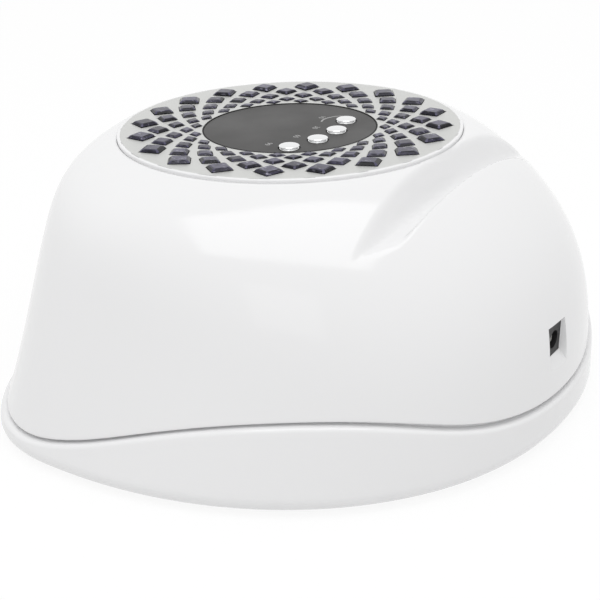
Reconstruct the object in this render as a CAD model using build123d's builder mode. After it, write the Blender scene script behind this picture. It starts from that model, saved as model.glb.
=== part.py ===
"""Desk lamp that cures nail gel with ultraviolet LEDs: a domed housing, a jewelled control disc
on top, a white hood over the hand space and a slide-out floor tray.  Millimetres, +Z up, the
mouth faces -Y, and the origin lies on the ground under the middle of the footprint."""
import math
import os

from build123d import *

os.makedirs("parts", exist_ok=True)

# Housing plan and height
lamp_width = 236.0          # across the widest line of the dome
rear_reach = 113.0          # from the disc centre back to the housing's rear
front_reach = 81.0          # from the disc centre forward to the housing's front
disc_height = 93.0          # gem plane above the ground, at the disc centre
disc_tilt = 1.5             # degrees the disc leans down towards the mouth
widest_forward = 18.0       # the widest line lies this far in front of the disc centre
ground_gap = 1.5            # the feet hold the base this far off the ground

# Wall form: each direction leans in by its own slope, then rounds over the brow
side_lean = 0.31
rear_lean = 0.0
front_lean = 0.09
side_brow_ahead = 26.0      # the sides' brow is crisp in front and fades towards the rear
side_brow_behind = 2.5
rear_brow = 3.9
front_brow = 18.0
shoulder_roll = 1.0
rear_roll = 0.78
front_squareness = 2.52     # superellipse power of the front half of the plan, at the ground
corner_fade = 3.6           # how fast the front corners grow rounder with height
rear_squareness = 2.1
plan_points = 24            # points on each plan outline

# Walls and general clearances
shell_wall = 2.5
base_proud = 1.3            # the base stands this far outside the upper shell
base_floor = 2.5
base_edge_radius = 6.0
seam_gap = 1.0              # shadow gap between the upper shell and the base
tongue_wall = 1.5
tongue_rise = 3.0
slip = 0.2                  # clearance of parts that are pushed together
loose = 0.4                 # clearance of holes round screws, buttons and lenses

# Seam height along the housing, as (distance back from the origin, height)
seam_front_height = 14.5
seam_low_height = 14.0
seam_high_height = 32.0
seam_rear_height = 18.0

# Control disc
disc_radius = 62.0
carrier_wall = 1.0
carrier_floor = 2.0
trim_thickness = 1.2
gem_plate_thickness = 1.3
gem_rise = 1.0              # height of a gem's table over its girdle, on the largest gem
rim_drop = 0.3              # the carrier's rim ends this far under the silver face
land_drop = 1.1             # top edge of the housing under the silver face
land_width = 1.7
deck_hole_radius = 34.0
gem_rings = 5
gems_per_ring = 20
outer_gem_ring = 54.0
inner_gem_ring = 34.6
outer_gem_size = 10.6       # across the corners, along the ring
gem_gap = 0.15

# Control panel and buttons
panel_radius = 31.4
panel_drop = 1.0
panel_thickness = 1.5
gasket_width = 0.5
button_radius = 3.75
button_rise = 1.5
button_travel = 0.5
button_flange_radius = 4.9
button_flange = 1.0
button_arc_radius = 44.0    # the four buttons lie on a shallow arc
button_arc_back = 18.2      # highest point of that arc behind the disc centre
button_shift = 2.5          # the row stands a little to the right of the middle
button_pitch = 12.4
button_names = ["10s", "30s", "60s", "99s"]
switch_size = 6.0
switch_height = 3.5
plunger_radius = 1.7
plunger_reach = 1.7
board_thickness = 1.6
control_board_radius = 32.0
post_radius = 2.6
post_circle = 28.6
display_width = 23.0
display_depth = 14.0

# Finger groove behind the disc
groove_width = 11.5
groove_depth = 11.0
groove_floor = 9.0          # from the groove's top edge back to where its rear bank starts
groove_rear_rise = 3.6
groove_bow = 330.0          # radius that bows the groove down towards its ends
groove_half_length = 66.0
groove_skin = 2.4

# Hand space: a hood that tapers up from the tray
chamber_half_width = 78.0
chamber_top_half_width = 64.0
chamber_rear = 50.0
chamber_top_rear = 38.0
chamber_height = 64.0
hood_wall = 1.8
hood_corner = 28.0
hood_top_corner = 22.0
hood_crown_radius = 8.0
hood_screw_inset = 7.0      # the hood's screws stand this far outside the hand space

# Tray and its rails
tray_thickness = 2.4
tray_overlap = 1.5          # the tray is this much wider than the hand space, each side
tray_floor = 3.6
tray_lip_height = 12.0
rail_front_inset = 21.0     # the rails start this far behind the housing's front
rail_lip = 4.0
rail_wall = 3.0
rail_lip_thickness = 2.0

# Light-emitting diodes and their boards
lens_radius = 4.0
lens_dome = 2.2
board_gap = 3.0
standoff_radius = 3.0
screw_radius = 1.25

# Power inlet: a 5.5 mm barrel socket with a 2.1 mm centre pin
jack_x = 6.0
jack_height = 38.2
jack_width = 10.8
jack_tall = 11.4
jack_length = 14.4
jack_hole_radius = 3.2
jack_hole_depth = 9.5
jack_pin_radius = 1.05
jack_tail_radius = 0.8      # the pin's thinner tail sits in the socket's rear wall
jack_recess_depth = 0.5
jack_recess_width = 12.8
jack_recess_tall = 16.5
jack_recess_drop = 1.35     # the recess opens a little downwards
jack_frame = 0.3
jack_flare = 2.5            # the recess's cutter reaches this far past its depth

# Feet, screws and magnets
foot_radius = 6.0
foot_recess = 0.8
case_screw_radius = 1.5
case_boss_radius = 4.5
magnet_radius = 4.0
magnet_thickness = 1.2

# Lens boards and small fittings
thread_gap = 0.05
case_screw_grip = 12.0
case_boss_height = 40.0     # the shell's bosses run up into its roof
case_screw_seat = 16.0      # height of the shoulder that the case screws' heads pull on
case_head_radius = 3.0
case_head_height = 2.0
head_radius = 2.3
head_height = 1.4
screw_grip = 3.2
tab_length = 8.0
tab_reach = 9.5
magnet_gap = 0.1
magnet_inset = 10.0         # from the hand space's rear to the magnets
magnet_pitch = 120.0
sensor_radius = 2.5
lens_sides = 12
lens_taper = 48.0
ledge_radius = 28.0
jack_pin_recess = 1.0
lens_rise = 0.6
board_centre_y = -24.0
carrier_screw_circle = 48.0
carrier_screw_angle = 45.0
carrier_boss_radius = 3.0
gem_spread = 1.35
gem_across_power = 1.15
gem_along_power = 1.9
gem_table = 0.68            # flat table on top of a gem, as a share of its size
gem_girdle_rise = 0.35      # the gem's sloping faces start this far above the silver face
case_joint_height = 26.0
shelf_width = 21.0
shelf_length = 20.0

# Worked-out places
lamp_depth = rear_reach + front_reach
foot_lean = front_lean * (ground_gap + base_edge_radius)
disc_y = (lamp_depth - foot_lean) / 2 - rear_reach
half_width = lamp_width / 2
tray_half_width = chamber_half_width + tray_overlap
magnet_row = chamber_rear - magnet_inset
front_y = disc_y - front_reach
rear_y = disc_y + rear_reach
crown_height = disc_height - land_drop
crown_radius = disc_radius + carrier_wall / 2 + land_width
carrier_radius = disc_radius + carrier_wall / 2
seat_radius = carrier_radius + slip
seat_drop = trim_thickness + gem_plate_thickness + carrier_floor
deck_drop = seat_drop + shell_wall
inner_drop = deck_drop - land_drop
tray_top = tray_floor + tray_thickness
rail_top = tray_top + slip + rail_lip_thickness
panel_bottom = -(panel_drop + panel_thickness)
flange_bottom = panel_bottom - slip / 2 - button_flange
plunger_bottom = flange_bottom - plunger_reach
switch_top = flange_bottom - button_travel - loose
board_top = switch_top - switch_height
jack_face_y = rear_y - 2.7 - jack_recess_depth
jack_board_bottom = jack_height - jack_tall / 2 - board_thickness
jack_screw_spots = [(jack_x + side * 8.0, jack_face_y - 16.0) for side in (1, -1)]


def disc_plane(drop=0.0):
    """Plane parallel to the disc's face, above or below it, centred on the disc's axis."""
    tilt = math.radians(disc_tilt)
    normal = Vector(0, -math.sin(tilt), math.cos(tilt))
    return Plane(origin=Vector(0, disc_y, disc_height) + normal * drop, x_dir=(1, 0, 0), z_dir=normal)


def reach(rise, foot, lean, brow, roll, top_radius):
    """Distance of the wall from the disc's axis at a share of the crown's height."""
    wall = foot - lean * rise * crown_height
    return top_radius + (wall - top_radius) * (1 - rise ** brow) ** roll


def outline_point(angle, side, rear, front, rear_power, front_power):
    """Point of a closed curve whose front and rear halves are two superellipses."""
    across, back = math.cos(angle), math.sin(angle)
    power = rear_power if back >= 0 else front_power
    depth = rear if back >= 0 else front
    x = side * math.copysign(abs(across) ** (2 / power), across)
    y = depth * math.copysign(abs(back) ** (2 / power), back)
    return x, y


def dome_station(rise, gap, drop):
    """Face of the dome's outline at a share of its height, gap inside the outer form."""
    blend = 1 - rise ** 4
    top_radius = crown_radius - gap
    rear = reach(rise, rear_reach - gap, rear_lean, rear_brow, rear_roll, top_radius)
    front = reach(rise, front_reach - gap, front_lean, front_brow, shoulder_roll, top_radius)
    ahead = widest_forward * blend
    rear_power = 2 + (rear_squareness - 2) * blend
    front_power = 2 + (front_squareness - 2) * (1 - rise) ** corner_fade
    tilt = math.radians(disc_tilt) * rise ** 6
    plane = Plane(
        origin=(0, disc_y, rise * (crown_height - drop)),
        x_dir=(1, 0, 0),
        z_dir=(0, -math.sin(tilt), math.cos(tilt)),
    )
    points = []
    for step in range(plan_points):
        angle = 2 * math.pi * step / plan_points
        facing = (1 - math.sin(angle)) / 2
        side_brow = side_brow_ahead * facing + side_brow_behind * (1 - facing)
        side = reach(rise, half_width - gap, side_lean, side_brow, shoulder_roll, top_radius)
        x, y = outline_point(angle, side, rear + ahead, front - ahead, rear_power, front_power)
        points.append((x, y - ahead))
    even_steps = [step / plan_points for step in range(plan_points + 1)]
    with BuildSketch(plane) as station:
        with BuildLine():
            add(Edge.make_spline(points, periodic=True, parameters=even_steps))
        make_face()
    return station.sketch


def dome(gap=0.0, drop=0.0):
    """Solid of the dome from the ground to its crown, gap inside the outer form."""
    rises = (0, 0.18, 0.35, 0.51, 0.65, 0.76, 0.84, 0.9, 0.94, 0.97, 1.0)
    with BuildPart() as form:
        loft([dome_station(rise, gap, drop) for rise in rises])
    return form.part


def seam_side(shift, low, high):
    """Solid between two heights that ends at the wavy seam, above or below it."""
    y_low, y_high = front_y - 30, rear_y + 30
    with BuildPart() as side:
        with BuildSketch(Plane.YZ.offset(-lamp_width)):
            with BuildLine():
                wave = Spline(
                    (y_low, seam_front_height + shift),
                    (front_y, seam_front_height + shift),
                    (front_y + 58, seam_low_height + shift),
                    (disc_y + 18, (seam_low_height + seam_high_height) / 2 + shift + 2),
                    (disc_y + 60, seam_high_height + shift),
                    (rear_y - 20, (seam_high_height + seam_rear_height) / 2 + shift + 1.2),
                    (rear_y, seam_rear_height + shift),
                    (y_high, seam_rear_height + shift - 4),
                )
                edge = high if high is not None else low
                Polyline(wave @ 1, (y_high, edge), (y_low, edge), wave @ 0)
            make_face()
        extrude(amount=2 * lamp_width)
    return side.part


def base_form():
    """Outer solid of the base: the dome's foot, a little proud of it, with a rounded lower edge."""
    stations = []
    for height in (0, 1, 3, base_edge_radius, 13, 21, 30, 40):
        below = max(base_edge_radius - height, 0)
        inset = base_edge_radius - math.sqrt(base_edge_radius ** 2 - below ** 2)
        stations.append(dome_station((ground_gap + height) / crown_height, inset - base_proud, 0))
    with BuildPart() as form:
        loft(stations)
    return form.part


def groove_tool(skin):
    """Scoop behind the disc: a steep front wall, a round valley and a rising rear side."""
    top = disc_height + 8
    front = disc_y + crown_radius + 0.3 - skin
    valley = disc_height - groove_depth - skin
    rear = front + groove_width + 2 * skin
    reach_up = top - valley
    with BuildPart() as tool:
        with BuildSketch(Plane.YZ) as profile:
            with BuildLine():
                Polyline(
                    (front, top),
                    (front, valley + 8.5),
                    (front + 3.4 + skin, valley),
                    (front + groove_floor + skin, valley + 0.4),
                    (rear, valley + groove_rear_rise),
                    (rear + reach_up * 1.6, valley + groove_rear_rise + reach_up),
                    (front, top),
                    close=True,
                )
            make_face()
            low = profile.vertices().sort_by(Axis.Y)[0]
            fillet(low, radius=3.0)
        axis = Axis((0, 0, valley - groove_bow), (0, 1, 0))
        sweep_angle = math.degrees(groove_half_length / groove_bow)
        revolve(axis=axis, revolution_arc=sweep_angle)
        revolve(profile.sketch, axis=axis, revolution_arc=-sweep_angle)
    return tool.part


def hood_form(gap):
    """Solid of the hand space, gap outside the inner walls, with round rear corners and roof edge."""
    front = front_y - 40
    faces = []
    for height in (rail_top, chamber_height + gap):
        share = (height - rail_top) / (chamber_height - rail_top)
        half = chamber_half_width + (chamber_top_half_width - chamber_half_width) * share + gap
        rear = chamber_rear + (chamber_top_rear - chamber_rear) * share + gap
        corner = hood_corner + (hood_top_corner - hood_corner) * share + gap
        with BuildSketch(Plane.XY.offset(height)) as outline:
            with BuildLine():
                FilletPolyline(
                    (half, front), (half, rear), (-half, rear), (-half, front), radius=corner
                )
                Line((-half, front), (half, front))
            make_face()
        faces.append(outline.sketch)
    with BuildPart() as form:
        loft(faces, ruled=True)
        crown = form.faces().sort_by(Axis.Z)[-1]
        front_edge = crown.edges().sort_by(Axis.Y)[0]
        roof_edges = [edge for edge in crown.edges() if edge != front_edge]
        fillet(roof_edges, radius=hood_crown_radius + gap)
    return form.part


def side_facet(side):
    """Plane on the outside of the hood's left or right wall, its Y axis pointing up the wall."""
    run = chamber_half_width - chamber_top_half_width
    rise = chamber_height - rail_top
    slope = math.hypot(run, rise)
    middle = (chamber_half_width + chamber_top_half_width) / 2 + hood_wall
    return Plane(
        origin=(side * middle, board_centre_y, (rail_top + chamber_height) / 2),
        x_dir=(0, side, 0),
        z_dir=(side * rise / slope, 0, run / slope),
    )


def rear_facet():
    """Plane on the outside of the hood's rear wall, its Y axis pointing up the wall."""
    run = chamber_rear - chamber_top_rear
    rise = chamber_height - rail_top
    slope = math.hypot(run, rise)
    middle = (chamber_rear + chamber_top_rear) / 2 + hood_wall
    return Plane(
        origin=(0, middle, (rail_top + chamber_height) / 2),
        x_dir=(-1, 0, 0),
        z_dir=(0, rise / slope, run / slope),
    )


def top_facet():
    """Plane on top of the hood."""
    return Plane(origin=(0, board_centre_y, chamber_height + hood_wall))


def button_spots():
    """Places of the four buttons in the disc's plane, from the left end of the row."""
    spots = []
    for index in range(len(button_names)):
        across = (index - (len(button_names) - 1) / 2) * button_pitch
        back = button_arc_back - button_arc_radius + math.sqrt(button_arc_radius ** 2 - across ** 2)
        spots.append((button_shift + across, back))
    return spots


def ring_layout():
    """Every ring of gems as (radius, first angle, size across, size along); neighbours staggered."""
    rings = []
    for ring in range(gem_rings):
        share = 1 - (1 - ring / (gem_rings - 1)) ** gem_spread
        radius = outer_gem_ring - (outer_gem_ring - inner_gem_ring) * share
        across = outer_gem_size * (radius / outer_gem_ring) ** gem_across_power
        along = outer_gem_size * (radius / outer_gem_ring) ** gem_along_power
        first = 180 / gems_per_ring * ((ring + 1) % 2)
        rings.append((radius, first, across, along))
    return rings


def gem_outline(across, along):
    """Corner points of one gem, its long axis across or along the ring's radius."""
    return [(along / 2, 0), (0, across / 2), (-along / 2, 0), (0, -across / 2)]


def finish_piece(piece, name):
    """Label a finished piece and write it to its own file."""
    piece.part.label = name
    export_step(piece.part, f"parts/{name}.step")
    return piece.part


outer_dome = dome()
inner_dome = dome(shell_wall, inner_drop)
liner_dome = dome(shell_wall + slip, inner_drop)
tongue_dome = dome(shell_wall + slip + tongue_wall, inner_drop)
base_outer = base_form()
hand_space = hood_form(0)

# Places of screws, feet and magnets, each pair mirrored left and right
case_screw_spots = [(side * x, y) for x, y in ((98.0, -8.0), (58.0, 58.0)) for side in (1, -1)]
foot_spots = [(side * x, y) for x, y in ((98.0, -38.0), (34.0, 76.0)) for side in (1, -1)]
hood_screw_spots = [
    (side * (chamber_half_width + hood_screw_inset), y) for y in (-50.0, 18.0) for side in (1, -1)
]
magnet_spots = [(side * magnet_pitch / 2, magnet_row) for side in (1, -1)]


# Space inside the upper shell, less what is moulded onto its walls
with BuildPart() as shell_cavity:
    add(inner_dome)
    add(groove_tool(groove_skin), mode=Mode.SUBTRACT)
    with BuildSketch(Plane.XY.offset(case_joint_height)):
        with Locations(*case_screw_spots):
            Circle(case_boss_radius)
    extrude(amount=case_boss_height, mode=Mode.SUBTRACT)
    with BuildSketch(Plane.XZ.offset(-jack_face_y + shell_wall)):
        with Locations((jack_x, jack_height)):
            Rectangle(jack_recess_width + 2 * shell_wall, jack_recess_tall + 2 * shell_wall)
    extrude(amount=-rear_reach, mode=Mode.SUBTRACT)
    with BuildSketch(Plane.XY.offset(jack_board_bottom)):
        with Locations((jack_x, jack_face_y - shelf_length / 2)):
            Rectangle(shelf_width, shelf_length)
    extrude(amount=-shell_wall, mode=Mode.SUBTRACT)

# Upper shell: domed moulding with the disc seat, finger groove, mouth and inlet recess
with BuildPart() as upper_shell:
    add(outer_dome)
    add(shell_cavity.part, mode=Mode.SUBTRACT)
    add(seam_side(seam_gap / 2, -20, None), mode=Mode.SUBTRACT)
    with BuildSketch(Plane.XY.offset(case_joint_height)):
        with Locations(*case_screw_spots):
            Circle(case_boss_radius)
    extrude(amount=case_screw_grip - 2)
    add(hand_space, mode=Mode.SUBTRACT)
    add(groove_tool(0), mode=Mode.SUBTRACT)
    with BuildSketch(disc_plane(-seat_drop)):
        Circle(seat_radius)
    extrude(amount=seat_drop + 5, mode=Mode.SUBTRACT)
    with BuildSketch(disc_plane(-seat_drop)):
        Circle(deck_hole_radius)
        with PolarLocations(carrier_screw_circle, 4, carrier_screw_angle):
            Circle(carrier_boss_radius + slip)
    extrude(amount=-shell_wall - 1, mode=Mode.SUBTRACT)
    with BuildSketch(Plane.XZ.offset(-jack_face_y)) as recess_floor:
        with Locations((jack_x, jack_height)):
            Rectangle(jack_width + 2 * jack_frame, jack_tall + 2 * jack_frame)
    with BuildSketch(Plane.XZ.offset(-jack_face_y - jack_recess_depth - jack_flare)) as recess_mouth:
        with Locations((jack_x, jack_height - jack_recess_drop)):
            Rectangle(jack_recess_width, jack_recess_tall)
    loft([recess_floor.sketch, recess_mouth.sketch], mode=Mode.SUBTRACT)
    with BuildSketch(Plane.XZ.offset(-jack_face_y)):
        with Locations((jack_x, jack_height)):
            Rectangle(jack_width + 2 * slip, jack_tall + 2 * slip)
    extrude(amount=2 * shell_wall, mode=Mode.SUBTRACT)
    with BuildSketch(Plane.XY.offset(case_joint_height)):
        with Locations(*case_screw_spots):
            Circle(case_screw_radius + thread_gap)
    extrude(amount=case_screw_grip + 2, mode=Mode.SUBTRACT)
    with BuildSketch(Plane.XY.offset(jack_board_bottom)):
        with Locations(*jack_screw_spots):
            Circle(screw_radius + thread_gap)
    extrude(amount=-shell_wall, mode=Mode.SUBTRACT)
finish_piece(upper_shell, "upper_shell")


# Space inside the base, less its tray rails and the posts under the hood's tabs
rail_front = front_y + rail_front_inset
rail_outer = tray_half_width + slip + rail_wall
tray_rear = chamber_rear - slip
rail_rear = tray_rear + slip + rail_wall
floor_top = ground_gap + base_floor
with BuildPart() as base_hollow:
    add(tongue_dome)
    split(bisect_by=Plane.XY.offset(floor_top), keep=Keep.TOP)
    with BuildSketch(Plane.XY.offset(ground_gap)):
        with Locations((0, (rail_front + rail_rear) / 2)):
            Rectangle(2 * rail_outer, rail_rear - rail_front)
        with Locations(*hood_screw_spots):
            Circle(standoff_radius)
    extrude(amount=rail_top - ground_gap, mode=Mode.SUBTRACT)

# Locating tongue of the base, a low wall that stands up inside the upper shell
with BuildPart() as tongue:
    add(liner_dome)
    add(seam_side(tongue_rise, 200, None), mode=Mode.SUBTRACT)
    add(seam_side(-2.0, -20, None), mode=Mode.SUBTRACT)

# Base shell: the white foot of the housing, with rails for the tray
with BuildPart() as base_shell:
    add(base_outer)
    add(seam_side(-seam_gap / 2, 200, None), mode=Mode.SUBTRACT)
    add(tongue.part)
    add(base_hollow.part, mode=Mode.SUBTRACT)
    with BuildSketch(Plane.XY.offset(ground_gap)):
        with Locations(*case_screw_spots):
            Circle(case_boss_radius)
    extrude(amount=case_joint_height - slip - ground_gap)
    with BuildSketch(Plane.XY.offset(tray_floor)):
        with Locations((0, (front_y - 40 + chamber_rear) / 2)):
            Rectangle(2 * (tray_half_width + slip), chamber_rear - front_y + 40)
    extrude(amount=tray_thickness + slip, mode=Mode.SUBTRACT)
    with BuildSketch(Plane.XY.offset(tray_top)):
        with Locations((0, (front_y - 40 + chamber_rear - rail_lip) / 2)):
            Rectangle(2 * (tray_half_width - rail_lip), chamber_rear - rail_lip - front_y + 40)
    extrude(amount=60, mode=Mode.SUBTRACT)
    with BuildSketch(Plane.XY):
        with Locations((0, front_y - 20)):
            Rectangle(2 * (tray_half_width + slip), 2 * (rail_front - front_y) + 40)
    extrude(amount=60, mode=Mode.SUBTRACT)
    with BuildSketch(Plane.XY):
        with Locations((0, (rail_front - 5 + magnet_row - 8) / 2)):
            RectangleRounded(2 * (tray_half_width - rail_lip - 1), magnet_row - 8 - rail_front + 5, 6)
    extrude(amount=10, mode=Mode.SUBTRACT)
    with BuildSketch(Plane.XY.offset(tray_floor)):
        with Locations(*magnet_spots):
            Circle(magnet_radius)
    extrude(amount=-magnet_thickness - magnet_gap, mode=Mode.SUBTRACT)
    with BuildSketch(Plane.XY):
        with Locations(*foot_spots):
            Circle(foot_radius)
    extrude(amount=ground_gap + foot_recess, mode=Mode.SUBTRACT)
    with BuildSketch(Plane.XY):
        with Locations(*case_screw_spots):
            Circle(case_head_radius + slip)
    extrude(amount=case_screw_seat, mode=Mode.SUBTRACT)
    with BuildSketch(Plane.XY):
        with Locations(*case_screw_spots):
            Circle(case_screw_radius + slip)
    extrude(amount=case_joint_height, mode=Mode.SUBTRACT)
    with BuildSketch(Plane.XY.offset(rail_top)):
        with Locations(*hood_screw_spots):
            Circle(screw_radius + thread_gap)
    extrude(amount=-screw_grip - 0.6, mode=Mode.SUBTRACT)
finish_piece(base_shell, "base_shell")

# Slide-out floor tray; its front wall closes the base's own outline under the mouth
with BuildPart() as base_tray:
    with BuildSketch(Plane.XY.offset(ground_gap)):
        with Locations((0, (front_y - 20 + rail_front - slip) / 2)):
            Rectangle(2 * tray_half_width, rail_front - slip - front_y + 20)
    extrude(amount=tray_lip_height - ground_gap)
    add(base_outer, mode=Mode.INTERSECT)
    with BuildPart(mode=Mode.PRIVATE) as tray_hollow:
        add(tongue_dome)
        split(bisect_by=Plane.XY.offset(tray_top), keep=Keep.TOP)
    add(tray_hollow.part, mode=Mode.SUBTRACT)
    with BuildSketch(Plane.XY.offset(tray_floor)):
        with Locations((0, (rail_front - 4 + tray_rear) / 2)):
            Rectangle(2 * tray_half_width, tray_rear - rail_front + 4)
    extrude(amount=tray_thickness)
    with BuildSketch(Plane.XY.offset(tray_floor)):
        with Locations(*magnet_spots):
            Circle(magnet_radius)
    extrude(amount=magnet_thickness + magnet_gap, mode=Mode.SUBTRACT)
finish_piece(base_tray, "base_tray")

# Magnets that hold the tray home: one pair in the tray, one pair under it in the base
with BuildPart() as tray_magnets:
    with BuildSketch(Plane.XY.offset(tray_floor + magnet_gap)):
        with Locations(*magnet_spots):
            Circle(magnet_radius)
    extrude(amount=magnet_thickness)
finish_piece(tray_magnets, "tray_magnets")

with BuildPart() as base_magnets:
    with BuildSketch(Plane.XY.offset(tray_floor - magnet_gap)):
        with Locations(*magnet_spots):
            Circle(magnet_radius)
    extrude(amount=-magnet_thickness)
finish_piece(base_magnets, "base_magnets")

# Four rubber feet pressed into the base
with BuildPart() as rubber_feet:
    with BuildSketch(Plane.XY):
        with Locations(*foot_spots):
            Circle(foot_radius)
    extrude(amount=ground_gap + foot_recess)
    chamfer(rubber_feet.edges().group_by(Axis.Z)[0], length=0.6)
finish_piece(rubber_feet, "rubber_feet")

# Long screws that pull the base up against the upper shell's bosses
with BuildPart() as case_screws:
    with BuildSketch(Plane.XY.offset(case_screw_seat)):
        with Locations(*case_screw_spots):
            Circle(case_screw_radius)
    extrude(amount=case_joint_height - case_screw_seat + case_screw_grip)
    with BuildSketch(Plane.XY.offset(case_screw_seat)):
        with Locations(*case_screw_spots):
            Circle(case_head_radius)
    extrude(amount=-case_head_height)
finish_piece(case_screws, "case_screws")

# Lens boards: facet, board width, board height, lens columns, rows and their pitches
board_layouts = {
    "top": (top_facet(), 110.0, 98.0, 4, 3, 28.0, 30.0),
    "left": (side_facet(-1), 90.0, 36.0, 4, 2, 24.0, 18.0),
    "right": (side_facet(1), 90.0, 36.0, 4, 2, 24.0, 18.0),
    "rear": (rear_facet(), 96.0, 40.0, 4, 2, 24.0, 18.0),
}
sensor_spots = [(9.0, -46.0), (-9.0, -46.0)]


def board_screw_spots(width):
    """Screws at the two ends of a lens board."""
    return [(side * (width / 2 - 3.5), 0) for side in (1, -1)]


# Room that the base's tongue takes up, with its clearance
with BuildPart() as tongue_room:
    add(outer_dome)
    add(dome(shell_wall + tongue_wall + 2 * slip, inner_drop), mode=Mode.SUBTRACT)
    add(seam_side(tongue_rise + slip, 200, None), mode=Mode.SUBTRACT)

# White hood over the hand space
with BuildPart() as hood:
    add(hood_form(hood_wall))
    with BuildSketch(Plane.XY.offset(rail_top)):
        with Locations(*hood_screw_spots):
            Rectangle(2 * tab_reach, tab_length)
    extrude(amount=hood_wall)
    for facet, width, height, columns, rows, pitch_x, pitch_y in board_layouts.values():
        with BuildSketch(facet.offset(-hood_wall / 2)):
            with Locations(*board_screw_spots(width)):
                Circle(standoff_radius)
        extrude(amount=hood_wall / 2 + board_gap)
    add(hand_space, mode=Mode.SUBTRACT)
    add(liner_dome, mode=Mode.INTERSECT)
    add(tongue_room.part, mode=Mode.SUBTRACT)
    for facet, width, height, columns, rows, pitch_x, pitch_y in board_layouts.values():
        with BuildSketch(facet.offset(loose)):
            with GridLocations(pitch_x, pitch_y, columns, rows):
                Circle(lens_radius + slip)
        extrude(amount=-2 * hood_wall, mode=Mode.SUBTRACT)
        with BuildSketch(facet.offset(board_gap)):
            with Locations(*board_screw_spots(width)):
                Circle(screw_radius + thread_gap)
        extrude(amount=-screw_grip - thread_gap, mode=Mode.SUBTRACT)
    with BuildSketch(top_facet().offset(loose)):
        with Locations(*sensor_spots):
            Circle(sensor_radius + slip)
    extrude(amount=-2 * hood_wall, mode=Mode.SUBTRACT)
    with BuildSketch(Plane.XY.offset(rail_top + hood_wall)):
        with Locations(*hood_screw_spots):
            Circle(screw_radius + slip)
    extrude(amount=-hood_wall, mode=Mode.SUBTRACT)
finish_piece(hood, "hood_reflector")

# Lens boards, their lenses and their screws
with BuildPart() as board_screws:
    for facet, width, height, columns, rows, pitch_x, pitch_y in board_layouts.values():
        seat = facet.offset(board_gap + board_thickness)
        with BuildSketch(seat):
            with Locations(*board_screw_spots(width)):
                Circle(head_radius)
        extrude(amount=head_height)
        with BuildSketch(seat):
            with Locations(*board_screw_spots(width)):
                Circle(screw_radius)
        extrude(amount=-board_thickness - screw_grip)
finish_piece(board_screws, "led_board_screws")

for place, (facet, width, height, columns, rows, pitch_x, pitch_y) in board_layouts.items():
    with BuildPart() as board:
        with BuildSketch(facet.offset(board_gap)):
            RectangleRounded(width, height, 3)
            with Locations(*board_screw_spots(width)):
                Circle(screw_radius + slip, mode=Mode.SUBTRACT)
        extrude(amount=board_thickness)
    finish_piece(board, f"led_board_{place}")

    with BuildPart() as lenses:
        with BuildSketch(facet.offset(board_gap)):
            with GridLocations(pitch_x, pitch_y, columns, rows):
                RegularPolygon(lens_radius, lens_sides)
        extrude(amount=-(board_gap + hood_wall + lens_rise))
        tip = facet.offset(-hood_wall - lens_rise)
        with BuildSketch(Plane(origin=tip.origin, x_dir=tip.x_dir, z_dir=-tip.z_dir)):
            with GridLocations(pitch_x, pitch_y, columns, rows):
                RegularPolygon(lens_radius, lens_sides)
        extrude(amount=lens_dome - lens_rise, taper=lens_taper)
    finish_piece(lenses, f"led_lenses_{place}")

# Infrared windows that switch the lamp on when a hand goes in
with BuildPart() as sensor_windows:
    with BuildSketch(top_facet().offset(board_gap)):
        with Locations(*sensor_spots):
            Circle(sensor_radius)
    extrude(amount=-(board_gap + hood_wall + lens_rise))
finish_piece(sensor_windows, "sensor_windows")

# Screws through the hood's tabs
with BuildPart() as hood_screws:
    with BuildSketch(Plane.XY.offset(rail_top + hood_wall)):
        with Locations(*hood_screw_spots):
            Circle(head_radius)
    extrude(amount=head_height)
    with BuildSketch(Plane.XY.offset(rail_top + hood_wall)):
        with Locations(*hood_screw_spots):
            Circle(screw_radius)
    extrude(amount=-hood_wall - screw_grip)
finish_piece(hood_screws, "hood_screws")

# White carrier of the disc: a ring with a low rim, screw bosses and posts for the control board
post_spots = [(post_circle * math.cos(math.radians(a)), post_circle * math.sin(math.radians(a)))
              for a in (90, 210, 330)]
with BuildPart() as disc_carrier:
    with BuildSketch(disc_plane(-seat_drop)):
        Circle(carrier_radius)
        Circle(ledge_radius, mode=Mode.SUBTRACT)
    extrude(amount=seat_drop - rim_drop)
    with BuildSketch(disc_plane(-seat_drop + carrier_floor)):
        Circle(carrier_radius - carrier_wall)
    extrude(amount=seat_drop, mode=Mode.SUBTRACT)
    with BuildSketch(disc_plane(-seat_drop)):
        with PolarLocations(carrier_screw_circle, 4, carrier_screw_angle):
            Circle(carrier_boss_radius)
    extrude(amount=-shell_wall)
    with BuildSketch(disc_plane(board_top)):
        with Locations(*post_spots):
            Circle(post_radius)
    extrude(amount=-seat_drop + carrier_floor - board_top)
    with BuildSketch(disc_plane(-seat_drop - 1)):
        with Locations(*button_spots()):
            Circle(button_flange_radius + loose)
    extrude(amount=carrier_floor + 1, mode=Mode.SUBTRACT)
    with BuildSketch(disc_plane(-deck_drop)):
        with PolarLocations(carrier_screw_circle, 4, carrier_screw_angle):
            Circle(screw_radius + thread_gap)
    extrude(amount=screw_grip + thread_gap, mode=Mode.SUBTRACT)
    with BuildSketch(disc_plane(board_top)):
        with Locations(*post_spots):
            Circle(screw_radius + thread_gap)
    extrude(amount=screw_grip + thread_gap, mode=Mode.SUBTRACT)
finish_piece(disc_carrier, "disc_carrier")

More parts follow.
